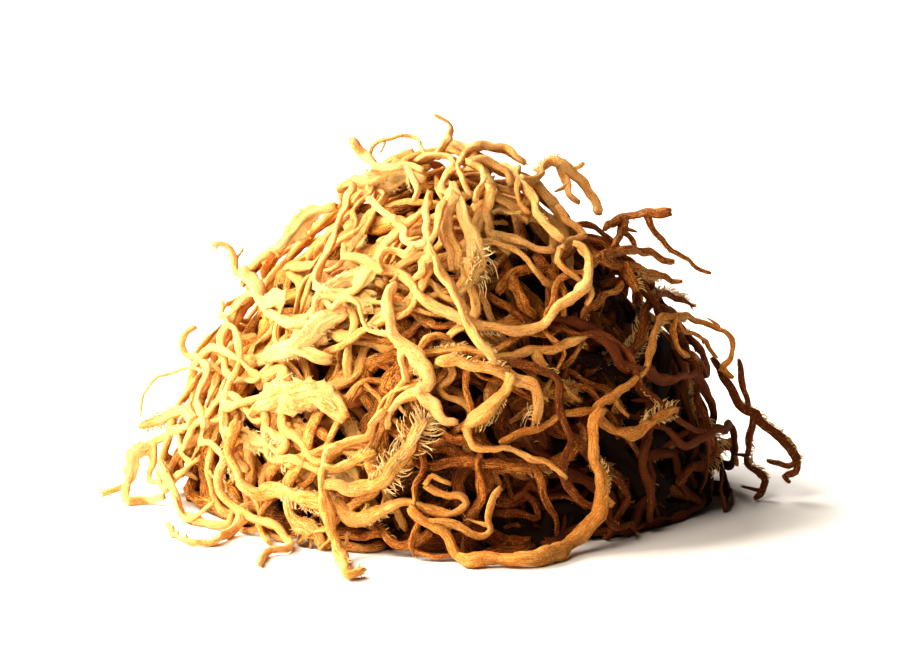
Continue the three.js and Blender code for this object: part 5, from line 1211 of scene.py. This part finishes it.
def add_sheet(piece, strand, rng, start, end, left, right, tone, cup=0.15, hole=None):
    """A thin torn membrane that a strand widens into, with ragged and fringed edges."""
    rows = max(5, int((end - start) / SHEET_STEP))
    share = np.linspace(0, 1, rows)
    at = start + (end - start) * share
    line, tangent, side, out, radius = strand.spot(at)
    turn = waves(at, rng, (20, 0.35))[:, None]
    across = side * np.cos(turn) + out * np.sin(turn)
    upward = out * np.cos(turn) - side * np.sin(turn)
    envelope = np.sin(math.pi * np.clip(share, 0.02, 0.98)) ** 0.6
    edges = []
    for width in (right, left):
        edge = width * envelope * (1 + waves(at, rng, (8, 0.2), (3.1, 0.14)) + rng.normal(0, 0.06, rows))
        edges.append(np.maximum(edge, radius * 0.4))
    columns = SHEET_COLUMNS
    place = np.linspace(-1, 1, columns)[None, :]
    reach = place * np.where(place < 0, edges[0][:, None], edges[1][:, None])
    pleats = PLEAT_HEIGHT * np.sin(2 * math.pi * reach / rng.uniform(*PLEAT_WIDTHS) + rng.uniform(0, 6)
        + waves(at, rng, (9, 1.2))[:, None])
    outward = np.abs(place)
    level = (radius[:, None] * 0.35 * (1 - outward) + cup * np.abs(reach) ** 1.4 * 0.5
        + pleats + waves(at, rng, (6, 0.2))[:, None] * outward)
    half = SHEET_HALF_THICKNESS + 0.4 * radius[:, None] * np.clip(1 - 1.6 * outward, 0, 1)
    middle = (line[:, None, :] + across[:, None, :] * reach[..., None]
        + upward[:, None, :] * level[..., None])
    top = middle + upward[:, None, :] * half[..., None]
    bottom = middle - upward[:, None, :] * half[..., None]
    kept = np.ones((rows - 1, columns - 1), dtype=bool)
    if hole:
        along = ((np.arange(rows - 1) + 0.5) / (rows - 1) - hole[0]) / hole[2]
        sideways = ((np.arange(columns - 1) + 0.5) / (columns - 1) * 2 - 1 - hole[1]) / hole[3]
        kept = along[:, None] ** 2 + sideways[None, :] ** 2 > 1
    row, column = np.nonzero(kept)
    first = row * columns + column
    under = rows * columns
    upper = np.stack([first, first + 1, first + columns + 1, first + columns], axis=-1)
    quads = [upper, upper[:, ::-1] + under]
    framed = np.zeros((rows + 1, columns + 1), dtype=bool)
    framed[1:-1, 1:-1] = kept
    for shift, one, two in (((-1, 0), 0, 1), ((0, 1), 1, 2), ((1, 0), 2, 3), ((0, -1), 3, 0)):
        bare = ~framed[row + 1 + shift[0], column + 1 + shift[1]]
        a = upper[bare, one]
        b = upper[bare, two]
        quads.append(np.stack([b, a, a + under, b + under], axis=-1))
    quads = np.concatenate(quads)
    u = np.broadcast_to(at[:, None] + rng.uniform(0, UV_SHIFT), reach.shape)
    flat_uv = np.stack([u, reach + 20], axis=-1).reshape(-1, 2)
    places = np.concatenate([top.reshape(-1, 3), bottom.reshape(-1, 3)])
    piece.add(places, [(quads, flat_uv[quads % under])], tone, SHEET_FIBRE)
    for sign, edge, column in ((-1, edges[0], 0), (1, edges[1], columns - 1)):
        count = int(rows * 1.1)
        rows_at = rng.integers(1, rows - 1, count)
        way = normed(across[rows_at] * sign + strewn(tangent[rows_at], rng, 0.3, 0.45)
            + strewn(upward[rows_at], rng, 0, 0.3))
        base = middle[rows_at, column] - across[rows_at] * (0.3 * sign)
        bend = strewn(tangent[rows_at], rng, 0.2, 0.3) + strewn(upward[rows_at], rng, 0, 0.3)
        add_filaments(piece, base, way, bend, rng.uniform(*EDGE_HAIR_LENGTHS, count),
            rng.uniform(*EDGE_HAIR_RADII, count), tone, 1.0, HAIR_POINTS)


# ---------- what grows on the fronds ----------

# Fringes of a frond: strand, first and last point of the drawing, side (1 is left of its way), length.
COMBS = {
    "brush_foot": [(2, 2.6, 6.2, 1, 4.6), (2, 6.2, 8.9, 1, 5.6), (2, 6, 8.9, -1, 6),
        (2, 2.8, 5, -1, 5), (2, 5, 8, 0, 3.6), (3, 1, 2.6, 1, 1.8)],
    "wide_wave": [(0, 7.5, 11, 1, 2), (0, 7.5, 11, -1, 2.2), (0, 1, 4, -1, 1.8),
        (0, 13, 16, -1, 1.3)],
    "tuft_drop": [(0, 4.4, 7.8, 1, 5), (0, 4, 7, -1, 3), (0, 5, 8, 0, 3.4)],
    "ring_strand": [(2, 1, 4.2, 1, 1.9)],
    "right_prongs": [(2, 0, 0.9, 1, 2.6), (1, 1.5, 4, -1, 1.5)],
    "rough_strand": [(0, 2.6, 4.4, 1, 2.5), (0, 9.4, 10.9, -1, 3.2), (1, 0.2, 3.2, 1, 2.4),
        (0, 0.5, 2.2, 1, 1.6)],
    "comb_arch": [(0, 1, 5.5, 1, 2.6), (0, 0.6, 4.6, -1, 2), (0, 6, 8.6, 1, 2.4)],
    "right_loop": [(0, 25.2, 28.8, 1, 3.9), (0, 26.5, 28.9, -1, 1.5), (0, 8, 12, 1, 1.4)],
    "knob_strand": [(0, 5.6, 7.8, -1, 2.6), (0, 0.8, 3.5, 1, 1.7)],
    "right_comb": [(0, 4.8, 8.6, 1, 4.6), (0, 1.5, 4, -1, 1.5)],
    "right_arm": [(0, 4, 10.4, 1, 1.7), (3, 1, 5, 1, 1.6)],
    "left_prong": [(3, 0, 2.9, 1, 2.2), (3, 0, 2.9, -1, 1.8)],
    "pale_flake": [(0, 2, 5.4, 1, 2.9), (0, 3, 6.8, -1, 1.7)],
    "leafy_left": [(0, 0.8, 4, -1, 1.8), (0, 2.2, 5.5, 1, 1.6), (2, 1, 4, 1, 1.5)],
    "left_comb": [(1, 0, 1.9, 1, 2.8), (0, 2, 6, -1, 2.4)],
    "left_foot": [(0, 1, 4, 1, 1.3)],
    "amber_broad": [(0, 1, 3.6, 1, 1.6)],
    "long_level": [(0, 2, 4.4, 1, 1.3)],
    "bowl": [(0, 9, 12, -1, 1.4)],
    "lower_level": [(0, 8, 11.5, -1, 1.6)],
    "curved_stub": [(0, 4, 6.8, 1, 1.5)],
    "white_fork": [(0, 13, 14.9, 1, 1.7)],
    "pale_sweep": [(0, 7, 9.5, -1, 1.7)],
    "floor_loop": [(0, 17, 20, -1, 1.2)],
}

# Frayed ends of a frond: strand, whether at its end, length, number of filaments, spread.
BRUSHES = {
    "brush_foot": [(2, True, 6, 52, 1.3), (0, True, 2, 24, 0.9)],
    "crest": [(0, True, 2.4, 18, 0.6)],
    "upper_left_edge": [(1, True, 3.2, 22, 0.9)],
    "frayed_slope": [(0, True, 2.4, 14, 0.5)],
    "top_stick": [(0, True, 1.8, 14, 0.4)],
    "right_stick": [(0, True, 1.8, 16, 0.5)],
    "tuft_drop": [(0, True, 2.6, 16, 0.7)],
    "rough_strand": [(0, True, 2.2, 14, 0.6)],
    "comb_arch": [(0, True, 2.6, 14, 0.6)],
    "right_arm": [(0, True, 2.4, 22, 1)],
    "left_prong": [(0, False, 2.6, 18, 0.8)],
    "pale_flake": [(1, True, 1.8, 12, 0.7)],
    "left_foot": [(2, True, 1.6, 12, 0.5)],
}

# Hairs for each millimetre of these fronds' strands, and how flat the leaf-like fronds are.
FUZZY = {
    "top_left_fuzz": 6.0, "left_prong": 2.6, "pale_flake": 2.0, "tuft_drop": 2.6, "leafy_left": 2.0,
    "right_arm": 6.0, "comb_arch": 2.6, "upper_left_edge": 2.0, "brush_foot": 1.6, "right_comb": 2.0,
    "right_stick": 2.0, "right_prongs": 2.0, "crest": 2.0, "left_curl": 2.0,
}
FLATNESS = {"pale_flake": 0.6, "leafy_left": 0.55, "tuft_drop": 0.45, "amber_broad": 0.45}

# Membranes of a frond: strand, first and last point of the drawing, widths to the left and right,
# cup, hole.
SHEETS = {
    "pale_flake": [(0, 0.8, 7.2, 4.4, 4, 0.08, (0.47, 0.25, 0.11, 0.3))],
    "leafy_left": [(0, 1, 5.6, 3, 3.4, 0.1, None), (2, 1.6, 5.8, 2.4, 2.6, 0.1, None),
        (3, 0.2, 1.8, 1.8, 1.8, 0.1, None)],
    "tuft_drop": [(0, 4.2, 8.4, 3, 2.6, 0.1, None)],
    "left_small": [(0, 1, 4, 2.2, 2, 0.15, None)],
    "top_left_fuzz": [(0, 1, 5, 3.4, 3.2, 0.1, None)],
    "upper_left_edge": [(0, 3, 7, 2.6, 2.8, 0.1, None)],
    "left_comb": [(0, 1, 4, 2.2, 2.4, 0.1, None)],
    "left_prong": [(0, 2, 6, 2, 2.2, 0.1, None)],
    "brush_foot": [(2, 3, 7, 2.2, 2.2, 0.1, None)],
}
FUZZ = 0.7
LOOSE_COMB_CHANCE = 0.34
LOOSE_COMB_FROM = 14
BRUSH_CHANCE = 0.3
BRUSH_LENGTHS = (0.8, 1.8)
TWIG_SPACING = 60
FROND_FLATNESS = (0.14, 0.3)
FROND_SEED = 1000

# Tones run from 0, dark, to 1, pale.
TONES = {"pale": 0.68, "amber": 0.4}
FROND_TONE_SPREAD = (-0.07, 0.07)
STRAND_TONE_SPREAD = (-0.08, 0.08)
# The inner tangle and the strands under it are painted dark, as shade inside the heap.
INNER_SHADE_TONE = 0.3
# Painted light and shade on the fronds: how much the tone is raised on the lit left and top, how much
# more it is lowered on the shaded right, and the height above which the top counts as lit.
FROND_PAINTED_LIGHT = 0.3
FROND_PAINTED_SHADE = 0.2
PAINTED_LIGHT_HEIGHT = 40
SHEET_PALING = 0.1


def lit_side_share(places):
    """How far a frond's places lie towards the lit left and top of the heap, below 0 towards the shaded
    right; tones raised and lowered by it are painted light and shade.
    """
    x, _, z = places.mean(axis=0)
    return float(-x + (z - PAINTED_LIGHT_HEIGHT)) / HALF_WIDTH


def rows_for(table, frond, number):
    return [row for row in table.get(frond.name, []) if row[0] == number]


def stretch_of(frond, number, strand, first, last):
    """How far along a strand the first and last drawn points lie."""
    ids = frond.strands[number][0]
    marks = [ids.index(node) for node in frond.marks[number]]
    places = np.interp([first, last], np.arange(len(marks)), marks)
    return np.interp(places, strand.marks, strand.at)


def dress_frond(frond, seed):
    """One piece from a frond: fine strands, and the fringes, frayed ends, hairs and twigs on them."""
    rng = np.random.default_rng(seed)
    piece = Piece()
    pale = lit_side_share(frond.places)
    # Painted light and shade: the tone is raised on the lit left and top and lowered, more steeply, on
    # the shaded right.
    tone = (TONES[frond.tone] + rng.uniform(*FROND_TONE_SPREAD)
        + FROND_PAINTED_LIGHT * pale + FROND_PAINTED_SHADE * min(0, pale))
    for number, (ids, radii) in enumerate(frond.strands):
        grows = number > 0
        strand = fine_strand(frond.places[ids], radii, frond.push_array[ids], rng)
        strand_tone = tone + rng.uniform(*STRAND_TONE_SPREAD)
        sides = THICK_SIDES if max(radii) > THICK_STRAND else THIN_SIDES
        flat = FLATNESS.get(frond.name, rng.uniform(*FROND_FLATNESS))
        add_body(piece, strand, rng, strand_tone, sides, grows, flat, facing=frond.name in FLATNESS)
        own = rows_for(COMBS, frond, number)
        for _, first, last, which, length in own:
            start, end = stretch_of(frond, number, strand, first, last)
            add_comb(piece, strand, rng, start, end, which, length, strand_tone)
        if not own and rng.random() < LOOSE_COMB_CHANCE and strand.length > LOOSE_COMB_FROM:
            add_loose_comb(piece, strand, rng, 2, 10, 8, 2.2, strand_tone)
        for _, first, last, left, right, cup, hole in rows_for(SHEETS, frond, number):
            start, end = stretch_of(frond, number, strand, first, last)
            add_sheet(piece, strand, rng, start, end, left, right, strand_tone + SHEET_PALING, cup, hole)
        brushes = rows_for(BRUSHES, frond, number)
        for _, at_end, length, count, spread in brushes:
            add_brush(piece, strand, rng, at_end, length, strand_tone, count, spread)
        if not brushes and rng.random() < BRUSH_CHANCE:
            add_brush(piece, strand, rng, True, rng.uniform(*BRUSH_LENGTHS), strand_tone, 9, 0.5)
        add_fuzz(piece, strand, rng, FUZZY.get(frond.name, FUZZ), strand_tone)
        for _ in range(rng.poisson(strand.length / TWIG_SPACING)):
            add_twig(piece, strand, rng, strand_tone)
    return piece


# ---------- the strands in the depth ----------

# Layers: strands, depth under the skin, radii, steps, tone, flatness, sides, ring step, and how far
# a strand is pushed in at most.
# The tones fall with depth: deeper layers are painted darker, as shade inside the heap.
LAYERS = [
    (78, (-2.0, 1.5), (0.7, 1.4), 11, 0.62, (0.2, 0.5), 9, 1.25, 4),
    (60, (1.5, 5.0), (0.7, 1.6), 11, 0.56, (0.2, 0.5), 9, 1.25, 6),
    (96, (5.0, 9.5), (1.2, 2.4), 11, 0.48, (0.3, 0.55), 9, 1.5, 6),
    (96, (10.0, 15.0), (1.6, 2.8), 11, 0.36, (0.3, 0.55), 8, 1.7, 0),
    (80, (16.0, 24.0), (2.2, 3.4), 10, 0.24, (0.3, 0.5), 8, 2.0, 0),
]
DRESSED_LAYERS = 3
LAYER_STEP = 7.5
LAYER_LOOK = 8
LAYER_DIVE = 6
LAYER_SEED = 5519
LAYER_DRESSING_SEED = 300
INNER_DRESSING_SEED = 77
INNER_RING_STEP = 1.2
CORE_SUBDIVISIONS = 5
CORE_RIDGES = 0.03
CORE_UNDERSIDE_DEPTH = 0.02
# Painted shade: the core is near black, and darker still towards the shaded right.
CORE_SHADE_TONE = -0.3
CORE_PAINTED_SHADE = 1.1
LAYERS_IN_PILE = 2
LAYER_TURN = 0.37
LAYER_LIFT = 0.31
LAYER_TONE_SPREAD = (-0.12, 0.12)
# Painted light and shade on the deep strands: tone raised on the lit left and top, lowered more on the
# shaded right.
LAYER_PAINTED_LIGHT = 0.75
LAYER_PAINTED_SHADE = 1.2
LAYER_DRESSED_FROM = 24
LAYER_FUZZ = 0.2
LAYER_SHEET_CHANCE = 0.35
LAYER_SHEET_LENGTHS = (7, 14)
LAYER_SHEET_WIDTHS = (1.4, 3.4)
LAYER_SHEET_PALING = 0.05
LAYER_COMB_CHANCE = 0.3
LAYER_TWIG_CHANCE = 0.25
FACING_CHANCE = 0.6
PALE_SHARE = 0.5


def lay_layers(pile):
    """More fronds under those of the source; in the outer layers each is pushed in until it is clear of
    what lies over it, but no further than the layer's limit, and the deepest layers stay where they are
    walked.
    """
    random = seeded_numbers(LAYER_SEED)
    layers = []
    for number, (count, depths, radii, steps, tone, *_, furthest) in enumerate(LAYERS):
        fronds = []
        for index in range(count):
            azimuth = GOLDEN_ANGLE * (index + LAYER_TURN * number)
            share = (index * (1 - GOLDEN_SHARE) + LAYER_LIFT * number) % 1
            rise = math.asin(0.02 + 0.93 * share)
            walk, radius = diving_walk(direction_at(azimuth, rise), depths, radii, steps, LAYER_STEP,
                LAYER_DIVE, 5, random, -NO_LIMIT)
            frond = Frond(f"layer_{number}_{index}", tone + random(*LAYER_TONE_SPREAD))
            frond.add_strand([frond.add_node(base, push) for base, push in walk],
                [radius * random(0.7, 1), radius, radius * random(0.5, 0.9)])
            if furthest > 0:
                before = pile[0]
                lay_frond(frond, pile, LAYER_LOOK, -1.0, furthest)
                if number >= LAYERS_IN_PILE:
                    pile[0] = before
            else:
                frond.push_array = np.array(frond.push)
                frond.places = np.array(frond.base)
            fronds.append(frond)
        layers.append(fronds)
    return layers


def dress_layer(fronds, number):
    rng = np.random.default_rng(LAYER_DRESSING_SEED + number)
    piece = Piece()
    flatness, sides, step = LAYERS[number][5:8]
    for frond in fronds:
        ids, radii = frond.strands[0]
        places = frond.places[ids]
        places[:, 2] = np.maximum(places[:, 2], np.array(radii) + FLOOR_GAP)
        strand = fine_strand(places, radii, frond.push_array[ids], rng, step)
        pale = lit_side_share(places)
        # Painted light and shade: the tone is raised on the lit left and top and lowered, more steeply,
        # on the shaded right.
        tone = frond.tone + (LAYER_PAINTED_LIGHT if pale > 0 else LAYER_PAINTED_SHADE) * pale
        add_body(piece, strand, rng, tone, sides, False, rng.uniform(*flatness),
            rng.random() < FACING_CHANCE)
        if number < DRESSED_LAYERS:
            add_fuzz(piece, strand, rng, LAYER_FUZZ + PALE_SHARE * max(0, pale), tone)
            long = strand.length > LAYER_DRESSED_FROM
            if long and rng.random() < LAYER_SHEET_CHANCE + PALE_SHARE * pale:
                start = rng.uniform(5, strand.length - 15)
                add_sheet(piece, strand, rng, start, start + rng.uniform(*LAYER_SHEET_LENGTHS),
                    rng.uniform(*LAYER_SHEET_WIDTHS), rng.uniform(*LAYER_SHEET_WIDTHS),
                    tone + LAYER_SHEET_PALING)
            if long and rng.random() < LAYER_COMB_CHANCE:
                add_loose_comb(piece, strand, rng, 5, 12, 7, 1.8, tone)
        if number < LAYERS_IN_PILE and rng.random() < LAYER_TWIG_CHANCE:
            add_twig(piece, strand, rng, tone)
    return piece


def dress_inner(inner, under):
    """The inner tangle: the core, the strands that stand out of it, and those under it."""
    rng = np.random.default_rng(INNER_DRESSING_SEED)
    piece = Piece()
    for ids, radii in inner.strands:
        strand = fine_strand(inner.places[ids], radii, inner.push_array[ids], rng, INNER_RING_STEP)
        add_body(piece, strand, rng, INNER_SHADE_TONE, 9, False, 0.2)
    for points in under:
        pushes = np.repeat(UP[None, :], len(points), axis=0)
        radii = [UNDER_RADIUS] * len(points)
        strand = fine_strand(points, radii, pushes, rng, INNER_RING_STEP, 0.5)
        add_body(piece, strand, rng, INNER_SHADE_TONE, 10, False, 0.15)
    ball = bmesh.new()
    bmesh.ops.create_icosphere(ball, subdivisions=CORE_SUBDIVISIONS, radius=1)
    directions = np.array([tuple(vertex.co.normalized()) for vertex in ball.verts])
    faces = np.array([[vertex.index for vertex in face.verts] for face in ball.faces])
    ball.free()
    places = []
    for direction in directions:
        x, y, z = direction
        lump = math.sin(6 * x + 1) * math.sin(7 * y + 2) + math.sin(8 * z)
        ridge = math.sin(26 * x + 5 * math.sin(9 * z)) * math.sin(24 * y + 4 * math.sin(8 * x))
        size = CORE_SIZE * (1 + CORE_LUMPS * lump + ridge * CORE_RIDGES)
        place = direction * (size / skin_level(direction))
        if z < 0:
            place[2] *= -CORE_UNDERSIDE_DEPTH
        places.append((place[0], place[1], place[2] + CORE_UNDERSIDE))
    places = np.array(places)
    uvs = np.tile(np.array([[0, 0], [0.3, 0], [0, 0.3]]), (len(faces), 1, 1))
    # Painted shade: the core's tone is near black and falls further towards the right.
    piece.add(places, [(faces, uvs)], CORE_SHADE_TONE - CORE_PAINTED_SHADE * places[:, 0] / HALF_WIDTH, 0.0)
    return piece


# ---------- materials ----------

FIBRE_COLOUR = (0.98, 0.71, 0.35, 1)
BUMP_STRENGTH = 1.0
BUMP_HEIGHT = 0.0006
GLOW_DEPTH = 0.0018
GLOW_COLOURS = (1.0, 0.4, 0.1)
SPECULAR = 0.35
FIBRE_SHARE = 0.8
GRAIN_HEIGHT = 0.7
GLOSS_STREAKS = 0.22

# Dark, middle and pale colour, roughness, and how far light glows through.
MOSS = {
    "moss_pale": ((0.46, 0.15, 0.019), (0.72, 0.335, 0.074), (0.88, 0.53, 0.22), 0.6, 0.3),
    "moss_amber": ((0.19, 0.05, 0.006), (0.57, 0.225, 0.038), (0.87, 0.51, 0.18), 0.58, 0.3),
    # The deep palette is a darker copy of the moss, with a near-black end, for the heap's inside and
    # deepest strands: painted shade.
    "moss_deep_shade": ((0.03, 0.009, 0.002), (0.33, 0.112, 0.013), (0.84, 0.43, 0.095), 0.7, 0.25),
    "moss_fringe": ((0.78, 0.43, 0.12), (0.97, 0.67, 0.3), (1.0, 0.86, 0.56), 0.6, 0.0),
}


def node_at(tree, kind, place, **settings):
    node = tree.nodes.new(kind)
    node.location = place
    for key, value in settings.items():
        setattr(node, key, value)
    return node


def set_inputs(node, values):
    for label, value in values.items():
        node.inputs[label].default_value = value


def moss_material(name, deep, middle, light, roughness, glow):
    """Dried moss: fibres along the strand, cloudy amber patches, fine grain, pale fringes."""
    material = bpy.data.materials.new(name)
    material.use_nodes = True
    tree = material.node_tree
    tree.nodes.clear()
    link = tree.links.new
    coords = node_at(tree, "ShaderNodeTexCoord", (-1200, 0))

    def noise(vector, place, scale, detail, roughness=0.5, distortion=0.0):
        node = node_at(tree, "ShaderNodeTexNoise", place)
        set_inputs(node, {
            "Scale": scale, "Detail": detail, "Roughness": roughness, "Distortion": distortion,
        })
        link(vector, node.inputs["Vector"])
        return node.outputs["Fac"]

    def stretched(place, along, across):
        """The strand's own coordinates, in millimetres along and round it, stretched."""
        node = node_at(tree, "ShaderNodeMapping", place)
        node.inputs["Scale"].default_value = (along, across, 1)
        link(coords.outputs["UV"], node.inputs["Vector"])
        return node.outputs["Vector"]

    def math_node(operation, place, *values):
        node = node_at(tree, "ShaderNodeMath", place, operation=operation)
        for socket, value in zip(node.inputs, values):
            if isinstance(value, (int, float)):
                socket.default_value = value
            else:
                link(value, socket)
        return node.outputs[0]

    streaks = noise(stretched((-1000, -200), 0.3, 2.8), (-800, -200), 1, 4, 0.62, 0.5)
    threads = noise(stretched((-1000, -800), 1.3, 4.2), (-800, -800), 1, 2, distortion=1.5)
    patches = noise(coords.outputs["Object"], (-800, 100), 95, 4)
    grain = noise(coords.outputs["Object"], (-800, -500), 2600, 3)
    both = math_node("ADD", (-650, -300), streaks, threads)

    # The tone attribute carries each part's own tone together with painted light and shade by side, top
    # and depth.
    mixed = node_at(tree, "ShaderNodeAttribute", (-1200, 300), attribute_name="tone").outputs["Fac"]
    # Each pattern's place in the tree, and how strongly it changes the tone.
    for x, y, pattern, strength, shift in (
        (-300, -200, both, 1.9, -1.88), (-150, 100, patches, 0.9, -0.45), (0, -500, grain, 0.9, -0.42),
    ):
        share = math_node("MULTIPLY_ADD", (-550, y), pattern, strength, shift)
        mixed = math_node("ADD", (x, 100), mixed, share)
    ramp = node_at(tree, "ShaderNodeValToRGB", (200, 150))
    ramp.color_ramp.elements.new(0.5)
    for element, place, colour in zip(ramp.color_ramp.elements, (0, 0.5, 1), (deep, middle, light)):
        element.position = place
        element.color = (*colour, 1)
    link(mixed, ramp.inputs["Fac"])

    fibre = node_at(tree, "ShaderNodeAttribute", (-1200, 500), attribute_name="fibre").outputs["Fac"]
    pale = node_at(tree, "ShaderNodeMix", (600, 200), data_type="RGBA")
    pale.inputs["B"].default_value = FIBRE_COLOUR
    link(math_node("MULTIPLY", (300, 450), fibre, FIBRE_SHARE), pale.inputs["Factor"])
    link(ramp.outputs["Color"], pale.inputs["A"])

    bump = node_at(tree, "ShaderNodeBump", (800, -300))
    set_inputs(bump, {"Strength": BUMP_STRENGTH, "Distance": BUMP_HEIGHT})
    link(math_node("MULTIPLY_ADD", (500, -400), grain, GRAIN_HEIGHT, both), bump.inputs["Height"])

    shader = node_at(tree, "ShaderNodeBsdfPrincipled", (1100, 0))
    link(pale.outputs["Result"], shader.inputs["Base Color"])
    rough = math_node("MULTIPLY_ADD", (600, -150), streaks, GLOSS_STREAKS, roughness - GLOSS_STREAKS / 2)
    link(rough, shader.inputs["Roughness"])
    link(bump.outputs["Normal"], shader.inputs["Normal"])
    set_inputs(shader, {
        "Specular IOR Level": SPECULAR, "Subsurface Weight": glow,
        "Subsurface Radius": GLOW_COLOURS, "Subsurface Scale": GLOW_DEPTH,
    })
    output = node_at(tree, "ShaderNodeOutputMaterial", (1400, 0))
    link(shader.outputs["BSDF"], output.inputs["Surface"])
    return material


PALE, AMBER, DEEP_SHADE, FRINGE = [moss_material(name, *values) for name, values in MOSS.items()]
LOOKS = {"pale": (PALE, "pale_frond"), "amber": (AMBER, "amber_frond"), "inner": (DEEP_SHADE, "inner_frond")}


# ---------- making it ----------

inner, under, fronds, pile = lay_heap()
layers = lay_layers(pile)


def place_piece(geometry, name, look, node=None):
    material, slot = LOOKS[look]
    piece = geometry.make(name, (material, FRINGE))
    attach(piece, "root")
    if node:
        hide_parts(node)


for number, frond in enumerate(fronds):
    place_piece(dress_frond(frond, FROND_SEED + number), f"{frond.name}_moss", frond.tone, frond.name)
for number, group in enumerate(layers):
    # The deepest layers take the darker inner palette, as painted shade.
    place_piece(dress_layer(group, number), f"deep_strands_{number + 1}",
        "amber" if number < DRESSED_LAYERS else "inner")
place_piece(dress_inner(inner, under), "inner_tangle_moss", "inner", "inner_tangle")


# ---------- floor, light and camera ----------

FLOOR_REACH = 20
FLOOR_COLOUR = (0.9, 0.885, 0.865)
FLOOR_ROUGHNESS = 0.8
LAMPS_AIM = (0, 0, 0.04)

# Suns: name, azimuth and rise in degrees, strength, softness in degrees, colour.
SUNS = [
    ("key", 173, 39, 3.6, 30, (1.0, 0.95, 0.91)),
    ("rim", 130, 48, 2.2, 30, (1.0, 0.95, 0.88)),
]

# Softboxes: name, place and width in metres, watts, colour.
SOFTBOXES = [
    ("side", (-0.31, -0.07, 0.22), 0.2, 0.7, (1.0, 0.92, 0.8)),
    ("fill", (-0.3, -0.22, 0.1), 0.3, 1.1, (1.0, 0.86, 0.7)),
    ("front", (-0.14, -0.26, 0.36), 0.25, 1.1, (1.0, 0.93, 0.84)),
]
FILL_LIGHT = 0.045
FILL_COLOUR = (1.0, 0.9, 0.82, 1)
LENS = 144
SENSOR = 36
VIEW_RANGE = (0.02, 60)

floor_material = bpy.data.materials.new("white_table")
floor_material.use_nodes = True
set_inputs(floor_material.node_tree.nodes["Principled BSDF"],
    {"Base Color": (*FLOOR_COLOUR, 1), "Roughness": FLOOR_ROUGHNESS})
floor_mesh = bpy.data.meshes.new("floor")
corners = [(x * FLOOR_REACH, y * FLOOR_REACH, 0) for x, y in ((-1, -1), (1, -1), (1, 1), (-1, 1))]
floor_mesh.from_pydata(corners, [], [(0, 1, 2, 3)])
floor_mesh.materials.append(floor_material)
add_object("floor", floor_mesh)


def add_lamp(name, kind, energy, colour, source, **settings):
    """A lamp that shines from a direction towards the middle of the heap."""
    data = bpy.data.lights.new(name, kind)
    data.energy = energy
    data.color = colour
    for key, value in settings.items():
        setattr(data, key, value)
    lamp = add_object(name, data)
    lamp.rotation_euler = source.to_track_quat("Z", "Y").to_euler()
    return lamp


for name, azimuth, rise, strength, softness, colour in SUNS:
    source = Vector(direction_at(math.radians(azimuth), math.radians(rise)))
    add_lamp(name, "SUN", strength, colour, source, angle=math.radians(softness))
for name, place, width, watts, colour in SOFTBOXES:
    lamp = add_lamp(name, "AREA", watts, colour, Vector(place) - Vector(LAMPS_AIM),
        shape="DISK", size=width)
    lamp.location = place
    lamp.visible_camera = False

world = bpy.data.worlds.new("studio")
bpy.context.scene.world = world
world.use_nodes = True
tree = world.node_tree
tree.nodes.clear()
fill = node_at(tree, "ShaderNodeBackground", (0, 0))
set_inputs(fill, {"Color": FILL_COLOUR, "Strength": FILL_LIGHT})
backdrop = node_at(tree, "ShaderNodeBackground", (0, -200))
backdrop.inputs["Color"].default_value = (1, 1, 1, 1)
path = node_at(tree, "ShaderNodeLightPath", (0, 300))
either = node_at(tree, "ShaderNodeMixShader", (300, 0))
world_output = node_at(tree, "ShaderNodeOutputWorld", (500, 0))
for output, entry in (
    (path.outputs["Is Camera Ray"], either.inputs[0]), (fill.outputs[0], either.inputs[1]),
    (backdrop.outputs[0], either.inputs[2]), (either.outputs[0], world_output.inputs["Surface"]),
):
    tree.links.new(output, entry)

camera_data = bpy.data.cameras.new("camera")
camera_data.lens = LENS
camera_data.sensor_width = SENSOR
camera_data.clip_start, camera_data.clip_end = VIEW_RANGE
camera = add_object("camera", camera_data)
camera.location = Vector(VIEWPOINT * MM)
camera.rotation_euler = Vector(VIEW_AIM - VIEWPOINT).to_track_quat("-Z", "Y").to_euler()
bpy.context.scene.camera = camera
bpy.context.scene.view_settings.view_transform = "Standard"
bpy.context.scene.view_settings.look = "High Contrast"
